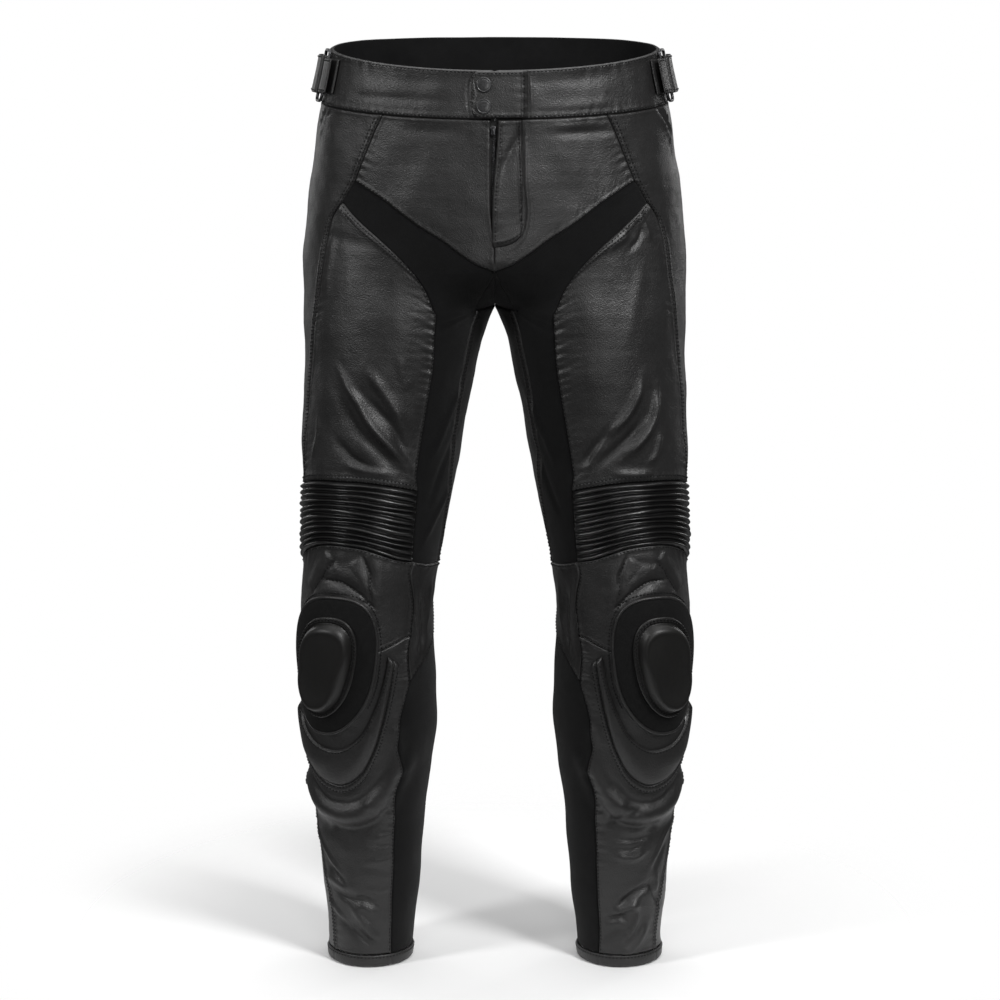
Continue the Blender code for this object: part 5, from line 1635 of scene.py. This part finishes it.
def stage_look():
    """A white floor that runs out into the plain background."""
    look = Look("floor", (0.86, 0.86, 0.86), 0.9, Specular_IOR_Level=0.0)
    white = look.mix(look.noise(3.0, 2.0), (0.85, 0.85, 0.85), (0.88, 0.88, 0.88))
    look.fill(look.shader, Base_Color=white)
    away = look.nodes.new("ShaderNodeVectorMath")
    away.operation = "LENGTH"
    look.links.new(look.place, away.inputs[0])
    fade = look.node("MapRange", Value=away.outputs["Value"], From_Min=FLOOR_FADE[0], From_Max=FLOOR_FADE[1])
    fade.interpolation_type = "SMOOTHSTEP"
    clear, mixed = look.nodes.new("ShaderNodeBsdfTransparent"), look.nodes.new("ShaderNodeMixShader")
    for index, output in enumerate((fade.outputs["Result"], look.shader.outputs[0], clear.outputs[0])):
        look.links.new(output, mixed.inputs[index])
    look.links.new(mixed.outputs[0], look.nodes["Material Output"].inputs["Surface"])
    return look.material


# Camera, floor and lights

def area_light(name, place, target, size, power):
    data = bpy.data.lights.new(name, "AREA")
    data.shape = "RECTANGLE"
    data.size, data.size_y = size
    data.energy = power
    light = show(bpy.data.objects.new(name, data))
    light.location = place
    light.rotation_euler = (Vector(target) - Vector(place)).to_track_quat("-Z", "Y").to_euler()


def floor():
    mesh = bpy.data.meshes.new("floor")
    angle = np.linspace(0, 2 * np.pi, 96, endpoint=False)
    edge = FLOOR_RADIUS * np.stack([np.cos(angle), np.sin(angle), 0 * angle], 1)
    mesh.from_pydata(edge.tolist(), [], [list(range(len(angle)))])
    mesh.materials.append(stage_look())
    disc = show(bpy.data.objects.new("floor", mesh))
    disc.location = (0.0, FLOOR_MIDDLE_Y, FLOOR_Z)


def world():
    """A dim light all round, and a white backdrop that only the camera sees."""
    made = bpy.data.worlds.new("studio")
    made.use_nodes = True
    nodes, links = made.node_tree.nodes, made.node_tree.links
    soft, backdrop = nodes["Background"], nodes.new("ShaderNodeBackground")
    mixed, path = nodes.new("ShaderNodeMixShader"), nodes.new("ShaderNodeLightPath")
    for shader, strength in ((soft, WORLD_LIGHT), (backdrop, BACKDROP)):
        shader.inputs["Color"].default_value = (1.0, 1.0, 1.0, 1.0)
        shader.inputs["Strength"].default_value = strength
    for index, output in enumerate((path.outputs["Is Camera Ray"], soft.outputs[0], backdrop.outputs[0])):
        links.new(output, mixed.inputs[index])
    links.new(mixed.outputs[0], nodes["World Output"].inputs["Surface"])
    bpy.context.scene.world = made


def studio():
    data = bpy.data.cameras.new("camera")
    data.lens, data.sensor_width, data.clip_end = CAMERA_LENS, CAMERA_SENSOR, CAMERA_REACH
    camera = show(bpy.data.objects.new("camera", data))
    camera.location = CAMERA_AT
    camera.rotation_euler = (CAMERA_TILT, 0.0, 0.0)
    bpy.context.scene.camera = camera
    floor()
    world()
    for light in LIGHTS:
        area_light(*light)
    bpy.context.scene.view_settings.view_transform = "Standard"


LOOKS = {
    "leather": leather_look("leather", seams=True),
    "leather_plain": leather_look("leather_plain"),
    # The ribs take the darker rib tones, painted shade of their grooves
    "ribs": leather_look("leather_ribs", RIB_GROOVE_SHADE_DARK, RIB_GROOVE_SHADE_LIGHT, gloss=(0.30, 0.34), grain=0.2),
    "stretch_cloth": stretch_look(),
}
# Plain looks: key, material, dark and light tone, roughness, scale, depth and strength of the
# grain, and other sockets
for key, material, dark, light, roughness, scale, depth, strength, sockets in (
    (
        "hook", "hook_pile", (0.0022, 0.0022, 0.0023), (0.0075, 0.0075, 0.0075),
        0.92, 1500.0, 0.0009, 0.9, {"Specular_IOR_Level": 0.2},
    ),
    (
        "moulded", "moulded_pad", (0.0050, 0.0048, 0.0045), (0.0075, 0.0072, 0.0068),
        0.44, 1300.0, 0.00025, 0.35, {"Specular_IOR_Level": 0.4},
    ),
    (
        "metal", "dark_metal", (0.05, 0.05, 0.052), (0.08, 0.08, 0.083),
        0.34, 700.0, 0.00008, 0.2, {"metallic": 1.0},
    ),
    (
        "stud", "stud_enamel", (0.018, 0.018, 0.0185), (0.026, 0.026, 0.027),
        0.28, 500.0, 0.00008, 0.2, {"Specular_IOR_Level": 0.5},
    ),
    (
        "zip_tape", "zip_tape", (0.002, 0.002, 0.002), (0.005, 0.005, 0.005),
        0.8, 1100.0, 0.0003, 0.5, {},
    ),
    (
        "lining", "lining", (0.0035, 0.0035, 0.0037), (0.0075, 0.0075, 0.0078),
        0.8, 900.0, 0.0003, 0.4, {"Specular_IOR_Level": 0.15},
    ),
    (
        "thread", "thread", (0.0015, 0.0015, 0.0016), (0.0040, 0.0040, 0.0042),
        0.62, 2500.0, 0.0001, 0.4, {"Specular_IOR_Level": 0.25},
    ),
):
    LOOKS[key] = simple_look(material, dark, light, roughness, scale, depth, strength, **sockets)


def main():
    studio()
    for half in (1, -1):
        at = side_name(half)
        for node, spec in PANELS.items():
            group = "hip" if node in HIP_PANELS else "leg"
            panel(f"{node}_{at}_sewn", f"{node}_{at}", spec, half, f"{group}_{at}")
        ribbed_panel(half)
        hem_band(half)
        knee_armour(half)
        shin_pad(half)
        adjuster(half)
    panel("waistband_back_sewn", "waistband_back", WAISTBAND_BACK, 1, "front")
    fly_placket()
    fly_zip()
    zip_slider()
    waist_tab()
    for key in sorted(STITCHES):
        make_stitches(f"stitching_{key}", key)


main()
